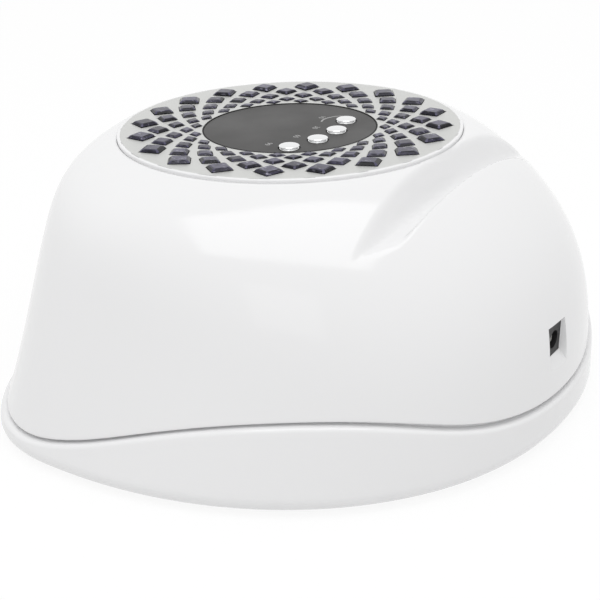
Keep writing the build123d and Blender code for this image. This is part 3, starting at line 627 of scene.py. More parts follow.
@dataclass
class DomeForm:
    """Outer form of the housing: outline by height, wavy seam, tilted disc and finger groove."""

    half_width: float = 118.0
    rear_reach: float = 113.0
    front_reach: float = 81.0
    disc_y: float = -16.3375
    disc_height: float = 93.0
    tilt: float = math.radians(1.5)
    widest_forward: float = 18.0
    crown_height: float = 91.9
    crown_radius: float = 64.2
    base_proud: float = 1.3
    base_edge: float = 6.0
    ground_gap: float = 1.5
    seam_gap: float = 1.0
    seam_places: tuple = (-30, 0, 58, 99, 141, 174, 194, 224.0)
    seam_heights: tuple = (11.4, 11.4, 10.3, 22.1, 30.25, 26.3, 17.8, 14.0)
    side_lean: float = 0.31
    side_brow_front: float = 26.0
    side_brow_rear: float = 2.5
    rear_side: SideForm = SideForm(0.0, 3.9, 0.78)
    front_side: SideForm = SideForm(0.09, 18.0)
    rear_square: float = 0.1
    front_square: float = 0.52
    front_square_fall: float = 3.6
    blend_power: int = 4
    lean_power: int = 6
    groove_form: GrooveForm = GrooveForm()

    @property
    def front_y(self) -> float:
        """The housing's front at the disc's line."""
        return self.disc_y - self.front_reach

    def reach(self, rise: Array, foot: float, top: float, side: SideForm) -> Array:
        """Distance of the wall from the disc's axis.

        The wall leans evenly from its foot; near the crown it turns in to the top's radius, by
        (1 - rise to the power of the brow) to the power of the roll.

        Args:
            rise: share of the crown's height.
            foot: distance on the ground.
            top: distance at the crown.
            side: how that side rises.

        Returns:
            Distances in millimetres.
        """
        wall = foot - side.lean * rise * self.crown_height
        return top + (wall - top) * np.maximum(1 - np.maximum(rise, 0) ** side.brow, 0) ** side.roll

    def wall(self, angle: Array, height: Array, gap: float) -> Array:
        """Points of the dome: two superellipses joined at the widest line, on leaning planes.

        Args:
            angle: direction round the dome, from +X towards the rear.
            height: height of the outline above the ground at the disc's axis.
            gap: how far inside the outer form.

        Returns:
            Points in millimetres.
        """
        angle, height = np.broadcast_arrays(angle, height)
        rise = height / self.crown_height
        blend = 1 - rise ** self.blend_power
        top = self.crown_radius - gap
        across, back = np.cos(angle), np.sin(angle)
        facing = (1 - back) / 2
        brow = self.side_brow_front * facing + self.side_brow_rear * (1 - facing)
        side = self.reach(rise, self.half_width - gap, top, SideForm(self.side_lean, brow))
        rear = self.reach(rise, self.rear_reach - gap, top, self.rear_side)
        front = self.reach(rise, self.front_reach - gap, top, self.front_side)
        ahead = self.widest_forward * blend
        front_power = self.front_square * np.maximum(1 - rise, 0) ** self.front_square_fall
        power = 2 + np.where(back >= 0, self.rear_square * blend, front_power)
        depth = np.where(back >= 0, rear + ahead, front - ahead)
        x = side * np.sign(across) * np.abs(across) ** (2 / power)
        y = depth * np.sign(back) * np.abs(back) ** (2 / power) - ahead
        lean = self.tilt * np.maximum(rise, 0) ** self.lean_power
        return np.stack([x, self.disc_y + y * np.cos(lean), height + y * np.sin(lean)], -1)

    def seam(self, y: Array) -> Array:
        """Height of the line between shell and base, by distance from front to rear."""
        return natural_spline(np.array(self.seam_places) + self.front_y, np.array(self.seam_heights), y)

    def groove(self, x: Array, y: Array) -> Array:
        """Height of the finger groove: front wall, round foot, flat floor and steep bank.

        The whole is bowed down to its ends on a circle, and the foot of the front wall swings
        forward towards the tips with the cube of the distance across.

        Args:
            x: distance across the lamp.
            y: distance towards the rear.

        Returns:
            Heights in millimetres.
        """
        g = self.groove_form
        front = self.disc_y + self.crown_radius + g.start
        valley = self.disc_height - g.depth
        share = np.clip(np.abs(x) / g.half, 0, g.tip_share)
        foot, heel = front + g.foot - g.swing * share ** 3, front + g.heel
        wall = valley + (foot - y) * g.wall_slope
        floor = valley + (y - foot) * g.floor_slope
        bank = valley + g.bank_lift + (y - heel) * g.bank_slope
        rise = -soft_min(-floor, -bank, g.heel_round)
        height = -soft_min(-wall, -rise, g.foot_round - g.foot_round_loss * share ** 2)
        lift = height - valley + g.bow
        return valley - g.bow + np.sqrt(np.maximum(lift ** 2 - x ** 2, 0))

    def on_disc(self, x: Array, y: Array, rise: Array) -> Array:
        """Points given in the disc's own plane, turned into the lamp's frame."""
        x, y, rise = np.broadcast_arrays(x, y, rise)
        c, s = math.cos(self.tilt), math.sin(self.tilt)
        return np.stack([x, self.disc_y + y * c - rise * s, self.disc_height + y * s + rise * c], -1)

    def disc_ring(self, radius: float, angle: Array, rise: float) -> Array:
        """Circle round the disc's axis, level with the disc's plane and a rise above it."""
        return self.on_disc(radius * np.cos(angle), radius * np.sin(angle), rise)

    @property
    def disc_turn(self) -> Array:
        """Columns are the disc plane's X, its Y and its normal."""
        c, s = math.cos(self.tilt), math.sin(self.tilt)
        return np.array([[1, 0, 0], [0, c, -s], [0, s, c]], float)


def housing_angles(front_steps: int, rear_steps: int) -> Array:
    """Directions round the dome, closer together behind the disc where the groove lies."""
    rear = np.linspace(math.radians(15), math.radians(165), rear_steps, endpoint=False)
    front = np.linspace(math.radians(165), math.radians(375), front_steps, endpoint=False)
    return np.concatenate([rear, front])


@dataclass(frozen=True)
class InletForm:
    """Recess round the power inlet, and the block inside the wall that it is cut into."""

    clearance: float = 0.6
    hole_gap: float = 0.2
    hole_depth: float = 20.0
    mouth_out: float = 3.0
    mouth_wide: float = 12.8
    mouth_tall: float = 16.5
    mouth_drop: float = 1.35
    block_half: float = 7.4
    block_below: float = 9.6
    block_above: float = 8.0
    block_depth: float = 4.0
    block_head: float = -0.85
    block_foot: float = 1.0


@dataclass
class Housing:
    """Upper shell, base and floor tray of the lamp."""

    form: DomeForm
    finishes: Finishes
    inlet: InletForm = InletForm()
    shell_wall: float = 2.5
    seat_radius: float = 62.7
    seat_drop: float = 4.5
    seat_chamfer: float = 0.3
    deck_hole: float = 34.0
    deck_land: float = 14.0
    under_drop: float = 5.4
    under_sink: float = 1.0
    lip_radius: float = 0.9
    groove_round: float = 1.7
    groove_round_inside: float = 1.1
    groove_reach: float = 8.0
    wall_rows: int = 120
    wall_crowding: float = 1.9
    inner_rows: int = 40
    inner_crowding: float = 0.6
    under_rows: int = 18
    front_steps: int = 190
    rear_steps: int = 270
    mouth_half: float = 78.0
    mouth_top_half: float = 64.0
    mouth_low: float = 8.2
    mouth_high: float = 64.0
    mouth_corner: float = 8.0
    mouth_foot: float = -20.0
    mouth_rear_y: float = -40.0
    base_lip: float = 1.1
    base_inset: float = 4.2
    floor_thickness: float = 2.5
    tongue_height: float = 3.0
    tongue_inset: float = 2.7
    tongue_chamfer: float = 0.4
    screw_column: float = 4.6
    screw_column_top: float = 25.8
    screw_hole: float = 3.2
    screw_hole_top: float = 5.0
    foot_recess: float = 6.05
    foot_recess_top: float = 2.35
    slot_gap: float = 0.2
    slot_high: float = 6.2
    rail_front: float = 21.0
    rail_top: float = 8.2
    rail_reach: float = 4.0
    rail_wall: float = 3.0
    opening_inset: float = 5.2
    opening_lead: float = 5.0
    opening_rear: float = 29.8
    tray_top: float = 10.8
    tray_low: float = 3.6
    tray_high: float = 6.0
    tray_front: float = 20.8
    tray_inside: float = 26.0
    plate_front: float = 16.0

    def seam_height(self, angle: Array, offset: float, gap: float, rounds: int = 6) -> Array:
        """Height on the wall where it meets the seam.

        The seam's height depends on the place of the wall and the place on the height, so each is
        worked out from the other in turn.

        Args:
            angle: directions round the dome.
            offset: height above the seam's middle.
            gap: how far inside the outer form.
            rounds: how often the two are worked out.

        Returns:
            Heights in millimetres.
        """
        height = np.full_like(angle, 20.0)
        for _ in range(rounds):
            height = self.form.seam(self.form.wall(angle, height, gap)[..., 1]) + offset
        return height

    def press_groove(self, rows: Array, radius: float, depth: float = 0.0) -> Array:
        """Push points that stand above the finger groove down onto it.

        Args:
            rows: points of the shell.
            radius: rounding of the groove's edge.
            depth: how far under the groove's surface the points have to lie.

        Returns:
            The points with their new heights.
        """
        rows = rows + [0, 0, depth]
        near = rows[..., 1] > self.form.disc_y + self.form.crown_radius - self.groove_reach
        lower = soft_min(rows[..., 2], self.form.groove(rows[..., 0], rows[..., 1]), radius)
        rows[..., 2] = np.where(near, np.minimum(lower, rows[..., 2]), rows[..., 2])
        return rows - [0, 0, depth]

    def shell_rings(self, angle: Array) -> Array:
        """All rings of the shell: outside, round lip, inside, deck, seat and crown edge.

        Args:
            angle: directions round the dome.

        Returns:
            Rings of points.
        """
        form, crown = self.form, self.form.crown_height
        foot = self.seam_height(angle, form.seam_gap / 2 + self.lip_radius, 0.0)
        share = np.linspace(0, 1, self.wall_rows)[:, None] ** self.wall_crowding
        outer = self.press_groove(form.wall(angle, crown - share * (crown - foot), 0.0), self.groove_round)
        lip = [form.wall(angle, foot - self.lip_radius * math.sin(b), self.lip_radius * (1 - math.cos(b)))
               for b in np.linspace(0, math.pi / 2, 6)[1:]]
        lip.append(form.wall(angle, foot - self.lip_radius, self.shell_wall))
        share = np.linspace(0, 1, self.inner_rows)[:, None] ** self.inner_crowding
        inner = form.wall(angle, foot + share * (crown - self.under_drop - foot), self.shell_wall)
        inner[..., 2] -= share * self.under_sink
        inner = self.press_groove(inner, self.groove_round_inside, self.shell_wall)
        direction = np.arctan2(outer[0, :, 1] - form.disc_y, outer[0, :, 0])
        deck_under = -self.seat_drop - self.shell_wall
        edge = form.disc_ring(self.deck_hole + self.deck_land, direction, deck_under)
        share = np.linspace(0, 1, self.under_rows)[1:, None, None]
        under = inner[-1] + (edge - inner[-1]) * share
        under = self.press_groove(under, self.groove_round_inside, self.shell_wall)
        land = crown - form.disc_height
        profile = [(self.deck_hole, deck_under), (self.deck_hole, -self.seat_drop),
                   (self.seat_radius, -self.seat_drop), (self.seat_radius, land - self.seat_chamfer),
                   (self.seat_radius + self.seat_chamfer, land)]
        deck = [form.disc_ring(radius, direction, rise) for radius, rise in profile]
        return np.concatenate([outer, np.array(lip), inner, under, np.array(deck)])

    def mouth_outline(self, steps: int = 10) -> Array:
        """Outline of the mouth across the lamp: a trapezoid with round upper corners.

        Args:
            steps: points on each round corner.

        Returns:
            Rows of x and z from low right over the top to low left.
        """
        run = (self.mouth_half - self.mouth_top_half) / (self.mouth_high - self.mouth_low)
        lean = math.atan(run)
        centre_z = self.mouth_high - self.mouth_corner
        wall_x = self.mouth_half - run * (centre_z - self.mouth_low)
        centre_x = wall_x - self.mouth_corner / math.cos(lean)
        angles = np.linspace(lean, math.pi / 2, steps)
        arc = np.stack([centre_x + self.mouth_corner * np.cos(angles),
                        centre_z + self.mouth_corner * np.sin(angles)], -1)
        foot = np.array([[self.mouth_half + run * (self.mouth_low - self.mouth_foot), self.mouth_foot]])
        right = np.concatenate([foot, arc])
        return np.concatenate([right, right[::-1] * [-1, 1]])

    def mouth_tool(self) -> bpy.types.Object:
        """Prism that cuts the mouth."""
        outline = self.mouth_outline()
        ends = [np.stack([outline[:, 0], np.full(len(outline), y), outline[:, 1]], -1)
                for y in (self.form.front_y - 40, self.mouth_rear_y)]
        return tidy_mesh(ring_solid("tool", np.array(ends), ends=True))

    def inlet_frame(self) -> tuple:
        """Middle of the power inlet's face: across, face, height, and its width and tallness."""
        low, high = (Vector(corner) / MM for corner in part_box("dc_jack"))
        return (low.x + high.x) / 2, high.y, (low.z + high.z) / 2, high.x - low.x, high.z - low.z

    def cut_inlet(self, shell: bpy.types.Object) -> bpy.types.Object:
        """Add the inlet's block inside the rear wall, then cut its recess and the hole for the socket.

        The block's rear leans with the wall.  The recess widens outwards and opens a little downwards.

        Args:
            shell: the dome's moulding.

        Returns:
            The changed moulding.
        """
        inlet, (x, face, z, wide, tall) = self.inlet, self.inlet_frame()
        low, high = z - inlet.block_below, z + inlet.block_above
        outline = [(face - inlet.block_depth, low), (face - inlet.block_depth, high),
                   (face + inlet.block_head, high), (face + inlet.block_foot, low)]
        sides = [[(side, y, height) for y, height in outline]
                 for side in (x - inlet.block_half, x + inlet.block_half)]
        shell = cut(shell, tidy_mesh(ring_solid("tool", np.array(sides), ends=True)), "UNION")
        rings = []
        for y, width, height, drop in (
            (face - 0.02, wide + inlet.clearance, tall + inlet.clearance, 0.0),
            (face + inlet.mouth_out, inlet.mouth_wide, inlet.mouth_tall, inlet.mouth_drop),
        ):
            rings.append([[x + sx * width / 2, y, z - drop + sz * height / 2]
                          for sx, sz in ((1, 1), (-1, 1), (-1, -1), (1, -1))])
        shell = cut(shell, tidy_mesh(ring_solid("tool", np.array(rings), ends=True)))
        gap = inlet.hole_gap
        hole = box_tool((x - wide / 2 - gap, face - inlet.hole_depth, z - tall / 2 - gap),
                        (x + wide / 2 + gap, face + 1, z + tall / 2 + gap))
        return cut(shell, hole)

    def build_shell(self) -> bpy.types.Object:
        """Upper shell: dome, groove, mouth and inlet recess.

        Returns:
            The shell.
        """
        angle = housing_angles(self.front_steps, self.rear_steps)
        shell = self.cut_inlet(tidy_mesh(ring_solid("shell_moulding", self.shell_rings(angle)), 40))
        shell = cut(shell, self.mouth_tool())
        tidy_mesh(shell, 45)
        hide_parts("upper_shell")
        return settle(shell, self.finishes.shell)

    def base_rings(self, angle: Array, top: Optional[float] = None) -> tuple[list, Array]:
        """Outside rings of the base, from under its lip down round its lower edge.

        Args:
            angle: directions round the base.
            top: height of a level upper edge, or None for the wavy seam.

        Returns:
            The rings of points, and the height of the lip's foot in each direction.
        """
        form = self.form
        if top is None:
            foot = self.seam_height(angle, -form.seam_gap / 2 - self.base_lip, -form.base_proud)
        else:
            foot = np.full_like(angle, top - self.base_lip)
        start = form.ground_gap + form.base_edge
        rows = [form.wall(angle, foot + (start - foot) * s, -form.base_proud) for s in np.linspace(0, 1, 14)]
        for bend in np.linspace(0, math.pi / 2, 10)[1:]:
            inset = form.base_edge * (1 - math.cos(bend))
            rows.append(form.wall(angle, start - form.base_edge * math.sin(bend), -form.base_proud + inset))
        return rows, foot

    def lip_rings(self, angle: Array, foot: Array) -> list:
        """Rings of the base's round lip, from its inner edge over the top to the outside."""
        lip, proud = self.base_lip, -self.form.base_proud
        bends = np.linspace(math.pi / 2, 0, 6)[1:-1]
        return [self.form.wall(angle, foot + lip, proud + lip)] + [
            self.form.wall(angle, foot + lip * math.sin(b), proud + lip * (1 - math.cos(b))) for b in bends]

    def build_base(self) -> bpy.types.Object:
        """Base shell with its tongue, floor opening, tray rails and screw columns.

        The tools that cut it reach 60 mm or more past the front and above the rails, into free air.

        Returns:
            The base.
        """
        form = self.form
        angle = housing_angles(200, 200)
        rows, foot = self.base_rings(angle)
        floor_low, floor_high = form.ground_gap, form.ground_gap + self.floor_thickness
        hub = np.stack([np.cos(angle), np.sin(angle) - 20.0, 0 * angle], -1)
        rows += [hub + [0, 0, floor_low], hub + [0, 0, floor_high]]
        seam = self.seam_height(angle, 0.0, self.base_inset)
        shoulder, tongue = seam + self.tongue_height - self.tongue_chamfer, seam + self.tongue_height
        rows += [form.wall(angle, floor_high + (shoulder - floor_high) * s, self.base_inset)
                 for s in (0.0, 0.5, 1.0)]
        rows += [form.wall(angle, tongue, self.base_inset - self.tongue_chamfer),
                 form.wall(angle, tongue, self.tongue_inset + self.tongue_chamfer),
                 form.wall(angle, shoulder, self.tongue_inset),
                 form.wall(angle, foot + self.base_lip, self.tongue_inset)]
        rows += self.lip_rings(angle, foot)
        base = tidy_mesh(ring_solid("base_moulding", np.array(rows)), 32)
        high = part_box("base_tray")[1]
        half, rear = high.x / MM + self.slot_gap, high.y / MM + self.slot_gap
        front = form.front_y + self.rail_front
        wall, reach, ahead = self.rail_wall, self.rail_reach, front - 60
        rails = box_tool((-half - wall, front, floor_low), (half + wall, rear + wall, self.rail_top))
        base = cut(base, rails, "UNION")
        for spot in self.screw_spots():
            column = self.disc_tool(spot, self.screw_column, floor_low, self.screw_column_top)
            base = cut(base, column, "UNION")
        for tool in (
            box_tool((-half, ahead, self.tray_low), (half, rear, self.slot_high)),
            box_tool((reach - half, ahead, self.tray_high), (half - reach, rear - reach, 66)),
            box_tool((-half, form.front_y - 40, -1), (half, front, 60)),
            self.floor_tool(half - self.opening_inset, front - self.opening_lead, self.opening_rear),
            *(self.disc_tool(spot, self.foot_recess, -1, self.foot_recess_top) for spot in self.foot_spots()),
            *(self.disc_tool(spot, self.screw_hole, -1, self.screw_hole_top) for spot in self.screw_spots()),
        ):
            base = cut(base, tool)
        tidy_mesh(base, 32)
        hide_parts("base_shell")
        return settle(base, self.finishes.shell)

    def floor_tool(self, half: float, front: float, rear: float) -> bpy.types.Object:
        """Round-cornered block that cuts the opening in the floor, a superellipse of a high power."""
        angle = np.linspace(0, 2 * np.pi, 96, endpoint=False)
        dx, dy = np.cos(angle), np.sin(angle)
        middle, depth, power = (front + rear) / 2, (rear - front) / 2, 14.0
        scale = (np.abs(dx / half) ** power + np.abs(dy / depth) ** power) ** (-1 / power)
        flat = np.stack([dx * scale, middle + dy * scale, 0 * angle], -1)
        rings = np.array([flat + [0, 0, -2.0], flat + [0, 0, 12.0]])
        return tidy_mesh(ring_solid("tool", rings, ends=True))

    def foot_spots(self) -> list[tuple[float, float]]:
        """Centres of the four feet."""
        return [(side * x, y) for x, y in ((98.0, -38.0), (34.0, 76.0)) for side in (1, -1)]

    def screw_spots(self) -> list[tuple[float, float]]:
        """Centres of the four case screws."""
        return [(side * x, y) for x, y in ((98.0, -8.0), (58.0, 58.0)) for side in (1, -1)]

    def disc_tool(self, spot: tuple, radius: float, low: float, high: float) -> bpy.types.Object:
        """Short upright cylinder used as a cutting tool."""
        profile = np.array([[radius, low], [radius, high]])
        return revolve("tool", profile, np.array([spot[0], spot[1], 0.0]), np.eye(3), 40)

    def build_tray(self) -> bpy.types.Object:
        """Floor tray: thin plate with the low front wall that carries on the base's outline.

        Returns:
            The tray.
        """
        form = self.form
        angle = housing_angles(240, 60)
        rows, foot = self.base_rings(angle, top=self.tray_top)
        top, behind = foot + self.base_lip, self.tray_inside
        profile = [(form.ground_gap, behind), (self.tray_high, behind), (self.tray_high, 5.6),
                   (self.tray_high + 1.2, 4.4), (top - 0.6, self.base_inset), (top, 3.6)]
        rows += [form.wall(angle, height, inset) for height, inset in profile]
        rows += self.lip_rings(angle, foot)
        front = tidy_mesh(ring_solid("tray_moulding", np.array(rows)), 32)
        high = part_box("base_tray")[1]
        half, back = high.x / MM, form.front_y + self.tray_front
        front = cut(front, box_tool((-half, form.front_y - 30, -5), (half, back, 60)), "INTERSECT")
        plate = box_tool((-half, form.front_y + self.plate_front, self.tray_low),
                         (half, high.y / MM, self.tray_high))
        tray = cut(front, plate, "UNION")
        tidy_mesh(tray, 32)
        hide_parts("base_tray")
        return settle(tray, self.finishes.shell, Body.TRAY.value)


@dataclass
class Hood:
    """White hood over the hand space with its diode lenses."""

    finishes: Finishes

    def build(self) -> None:
        """Hood and its four groups of lenses; the sensor windows keep their solid."""
        hood = copy_node("hood_reflector", "hood_moulding", 25)
        settle(hood, self.finishes.hood)
        for place in ("top", "left", "right", "rear"):
            lens = copy_node(f"led_lenses_{place}", f"lens_{place}", 50)
            settle(lens, self.finishes.lens)


@dataclass
class Disc:
    """Jewelled disc: silver trim with windows, step-cut gems, carrier rim, panel and gasket."""

    form: DomeForm
    finishes: Finishes
    trim_inner: float = 31.9
    trim_outer: float = 61.3
    trim_thickness: float = 1.2
    rings: int = 5
    per_ring: int = 20
    outer_ring: float = 54.0
    inner_ring: float = 34.6
    spread: float = 1.35
    size: float = 10.6
    across_power: float = 1.15
    along_power: float = 1.9
    gem_rise: float = 0.85
    girdle_rise: float = 0.3
    gem_steps: tuple = ((0.82, 0.75), (0.66, 1.0))
    gem_nip: float = 0.09
    plate_low: float = -2.5
    # Strengths of painted reflection: the narrow corner faces of the bevels, their long faces, and the table.
    bright_painted_sheen: tuple = (0.8, 1.0)
    dim_painted_sheen: tuple = (0.1, 0.6)
    table_painted_sheen: tuple = (0.35, 1.0)
    clearance: float = 0.12
    dish: float = 0.9
    trim_reach: float = 61.48
    rim_reach: float = 62.62
    rim_round: float = 0.45
    rim_foot: float = -2.0

    def dip(self, radius: Array) -> Array:
        """How far the silver face lies under the disc's plane: it falls evenly towards the panel."""
        return self.dish * (self.trim_outer - radius) / (self.trim_outer - self.trim_inner)

    def layout(self) -> list[tuple[float, float, float, float]]:
        """Rings of gems as radius, first angle, size across and size along.

        The rings crowd towards the inner one by a power of their place, every other ring is turned
        by half a gem, and the sizes go with powers of the radius.

        Returns:
            One row for each ring, from the outer one inwards.
        """
        found = []
        for ring in range(self.rings):
            share = 1 - (1 - ring / (self.rings - 1)) ** self.spread
            radius = self.outer_ring - (self.outer_ring - self.inner_ring) * share
            scale = radius / self.outer_ring
            found.append((radius, math.pi / self.per_ring * ((ring + 1) % 2),
                          self.size * scale ** self.across_power, self.size * scale ** self.along_power))
        return found

    def build_gems(self) -> bpy.types.Object:
        """A hundred step-cut gems on their ring plate.

        Each gem is a rhombus with nipped corners: an upright girdle, two bevels, the lower one
        steeper, and a flat table.  Each face carries a painted reflection of its own strength, brightest on
        the narrow corners.

        Returns:
            The insert.
        """
        corners = np.array([[1, 0], [0, 1], [-1, 0], [0, -1]], float)
        nip = self.gem_nip
        outline = np.concatenate([[c + (p - c) * nip, c + (n - c) * nip] for c, p, n in
                                  zip(corners, np.roll(corners, 1, 0), np.roll(corners, -1, 0))])
        count = len(outline)
        points, faces, painted_sheens = [], [], []
        rng = np.random.default_rng(11)
        for radius, first, across, along in self.layout():
            half = np.array([along / 2, across / 2])
            scale = along / self.size
            face = self.girdle_rise * scale - self.dip(radius)
            levels = [(1.0, -self.trim_thickness), (1.0, face)]
            levels += [(share, face + rise * self.gem_rise * scale) for share, rise in self.gem_steps]
            for index in range(self.per_ring):
                angle = first + 2 * math.pi * index / self.per_ring
                c, s = math.cos(angle), math.sin(angle)
                start = len(points) * count
                for share, height in levels:
                    flat = outline * (half - self.clearance) * share
                    x = radius * c + flat[:, 0] * c - flat[:, 1] * s
                    y = radius * s + flat[:, 0] * s + flat[:, 1] * c
                    points.append(self.form.on_disc(x, y, height))
                for level in range(len(levels) - 1):
                    a, b = start + level * count, start + level * count + count
                    for corner in range(count):
                        following = (corner + 1) % count
                        faces.append((a + corner, a + following, b + following, b + corner))
                        # Painted reflection strength of each face: none on the upright girdle, a random share
                        # from its range on the bevels.
                        sheen_span = self.dim_painted_sheen if corner % 2 else self.bright_painted_sheen
                        painted_sheens.append(rng.uniform(*sheen_span) if level else 0.0)
                top = start + (len(levels) - 1) * count
                faces.append(tuple(range(top, top + count)))
                # The table gets a painted reflection of its own random strength; the underside gets none.
                painted_sheens.append(rng.uniform(*self.table_painted_sheen))
                faces.append(tuple(reversed(range(start, start + count))))
                painted_sheens.append(0.0)
        gems = new_piece("gem_insert_cut", np.concatenate(points), faces, smooth=False)
        # Per-face strength of the painted reflection, read by the gem material.
        painted_sheen = gems.data.attributes.new("painted_sheen", "FLOAT", "FACE")
        painted_sheen.data.foreach_set("value", np.array(painted_sheens, np.float32))
        angle = np.linspace(0, 2 * math.pi, 160, endpoint=False)
        low, high = self.plate_low, -self.trim_thickness
        profile = [(self.trim_inner, low), (self.trim_outer, low),
                   (self.trim_outer, high), (self.trim_inner, high)]
        plate = ring_solid("gem_plate", np.array([self.form.disc_ring(r, angle, z) for r, z in profile]))
        tidy_mesh(plate)
        gems = join("gem_insert_cut", [gems, plate])
        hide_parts("gem_insert")
        return settle(gems, self.finishes.gem)

    def build_rim(self) -> bpy.types.Object:
        """White carrier of the disc with a rounded rim level with the silver face.

        Returns:
            The carrier.
        """
        carrier = copy_node("disc_carrier", "carrier_moulding", 30)
        carrier.modifiers.clear()
        angle = np.linspace(0, 2 * math.pi, 240, endpoint=False)
        inner, centre, top = self.trim_reach + 0.01, self.rim_reach - self.rim_round, -0.01
        section = [(inner, self.rim_foot), (inner, top)]
        section += [(centre + self.rim_round * math.sin(b), top - self.rim_round * (1 - math.cos(b)))
                    for b in np.linspace(0, math.pi / 2, 7)]
        section.append((self.rim_reach, self.rim_foot))
        rings = np.array([self.form.disc_ring(r, angle, z) for r, z in section])
        carrier = cut(carrier, tidy_mesh(ring_solid("tool", rings)), "UNION")
        tidy_mesh(carrier, 30)
        even_shading(carrier)
        return settle(carrier, self.finishes.shell)

    def build_trim(self) -> bpy.types.Object:
        """Silver ring: its face falls evenly towards the panel and its edge meets the carrier's rim.

        Returns:
            The trim.
        """
        trim = copy_node("trim_disc", "silver_trim", 20)
        points = np.empty(len(trim.data.vertices) * 3)
        trim.data.vertices.foreach_get("co", points)
        origin = self.form.on_disc(0.0, 0.0, 0.0)
        local = (points.reshape(-1, 3) / MM - origin) @ self.form.disc_turn
        radius = np.hypot(local[:, 0], local[:, 1])
        local[:, 2] -= np.where(local[:, 2] > -0.5 * self.trim_thickness, self.dip(radius), 0.0)
        stretch = np.where(radius > self.trim_outer - 0.02, self.trim_reach / self.trim_outer, 1.0)
        local[:, :2] *= stretch[:, None]
        points = (origin + local @ self.form.disc_turn.T) * MM
        trim.data.vertices.foreach_set("co", points.reshape(-1))
        trim.data.update()
        return settle(trim, self.finishes.silver)

    def build(self) -> None:
        """Trim, gems, carrier, panel and gasket."""
        self.build_trim()
        self.build_gems()
        self.build_rim()
        panel = copy_node("control_panel", "panel_face", 30)
        settle(panel, self.finishes.panel)
        gasket = copy_node("panel_gasket", "panel_ring", 30)
        settle(gasket, self.finishes.gasket)


@dataclass
class Buttons:
    """Four chromed dome buttons in an arc, the grey numbers in front of them and a grey arc line."""

    form: DomeForm
    finishes: Finishes
    names: tuple = ("10s", "30s", "60s", "99s")
    radius: float = 3.63
    rise: float = 1.5
    rim: float = -0.28
    waist: float = 3.05
    foot_ring: float = 3.45
    shaft: float = 3.78
    flange: float = 4.9
    flange_low: float = -3.6
    flange_high: float = -2.6
    dome_blunt: float = 0.9
    dome_arch: float = 1.1
    arc_radius: float = 44.0
    arc_back: float = 18.2
    shift: float = 2.5
    pitch: float = 12.4
    panel_top: float = -1.0
    number_size: float = 3.1
    number_gap: float = 8.9
    arc_clearance: float = 1.6
    ink_height: float = 0.03
    line_inner: float = 7.3
    line_outer: float = 7.9
    line_sweep: tuple = (298.0, 211.0)
    line_shift: tuple = (1.5, -0.8)

    def spots(self) -> list[tuple[float, float]]:
        """Places on an arc in the disc's plane, at even steps across from the -X end."""
        found = []
        for index in range(len(self.names)):
            across = (index - (len(self.names) - 1) / 2) * self.pitch
            back = self.arc_back - self.arc_radius + math.sqrt(self.arc_radius ** 2 - across ** 2)
            found.append((self.shift + across, back))
        return found

    def build_numbers(self) -> bpy.types.Object:
        """Plain grey seconds in front of the buttons, read from the mouth, and an arc at the first one.

        Returns:
            The printed marks as one thin mesh.
        """
        marks = []
        middle = self.panel_top + self.ink_height / 2
        for name, (x, y) in zip(self.names, self.spots()):
            gap = self.number_gap + (self.arc_clearance if name == self.names[0] else 0.0)
            curve = bpy.data.curves.new("number", "FONT")
            curve.body = name[:-1]
            curve.size, curve.extrude = self.number_size * MM, self.ink_height / 2 * MM
            curve.align_x, curve.align_y = "CENTER", "CENTER"
            text = bpy.data.objects.new("number", curve)
            bpy.context.scene.collection.objects.link(text)
            graph = bpy.context.evaluated_depsgraph_get()
            mesh = bpy.data.meshes.new_from_object(text.evaluated_get(graph))
            bpy.data.objects.remove(text)
            bpy.data.curves.remove(curve)
            place = Vector(self.form.on_disc(x, y - gap, middle).tolist()) * MM
            mesh.transform(Matrix.Translation(place) @ Matrix(self.form.disc_turn.tolist()).to_4x4())
            mark = bpy.data.objects.new("number", mesh)
            bpy.context.scene.collection.objects.link(mark)
            marks.append(mark)
        x, y = (place + shift for place, shift in zip(self.spots()[0], self.line_shift))
        start, end = (math.radians(degrees) for degrees in self.line_sweep)
        low, high = self.panel_top, self.panel_top + self.ink_height
        section = [(self.line_inner, low), (self.line_outer, low),
                   (self.line_outer, high), (self.line_inner, high)]
        band = np.array([[self.form.on_disc(x + r * math.cos(a), y + r * math.sin(a), z)
                          for r, z in section] for a in np.linspace(start, end, 40)])
        marks.append(tidy_mesh(ring_solid("arc", band, ends=True)))
        numbers = join("panel_numbers", marks)
        tidy_mesh(numbers, 30, weld=1e-7)
        return settle(numbers, self.finishes.ink)

    def profile(self) -> Array:
        """Half section of a button: flange, foot ring, narrow waist and an overhanging dome.

        The dome's radius goes with a power of the sine of the angle from its top and its height
        with a power of the cosine.

        Returns:
            Rows of radius and height in the disc's frame, from the axis below to the axis on top.
        """
        top, axis = self.panel_top + self.rise, 0.02
        bends = np.linspace(math.pi / 2, 0, 24)
        cap = np.stack([self.radius * np.sin(bends) ** self.dome_blunt,
                        self.rim + (top - self.rim) * np.cos(bends) ** self.dome_arch], -1)
        cap[-1, 0] = axis
        foot = [
            (axis, self.flange_low), (self.flange, self.flange_low), (self.flange, self.flange_high),
            (self.shaft, self.flange_high), (self.shaft, -1.9),
            (self.foot_ring, -1.75), (self.foot_ring, -1.0), (self.foot_ring - 0.08, -0.93),
            (self.waist + 0.06, -0.86), (self.waist, -0.8), (self.waist, -0.5),
            (self.radius - 0.12, -0.42), (self.radius - 0.02, -0.35),
        ]
        return np.concatenate([np.array(foot), cap])

    def build(self) -> None:
        """Print the numbers, then make each button."""
        self.build_numbers()
        profile, turn = self.profile(), self.form.disc_turn
        for name, (x, y) in zip(self.names, self.spots()):
            button = revolve(f"dome_button_{name}", profile, self.form.on_disc(x, y, 0.0), turn, 72)
            tidy_mesh(button, 50)
            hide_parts(f"button_{name}")
            settle(button, self.finishes.chrome, f"button_{name}")


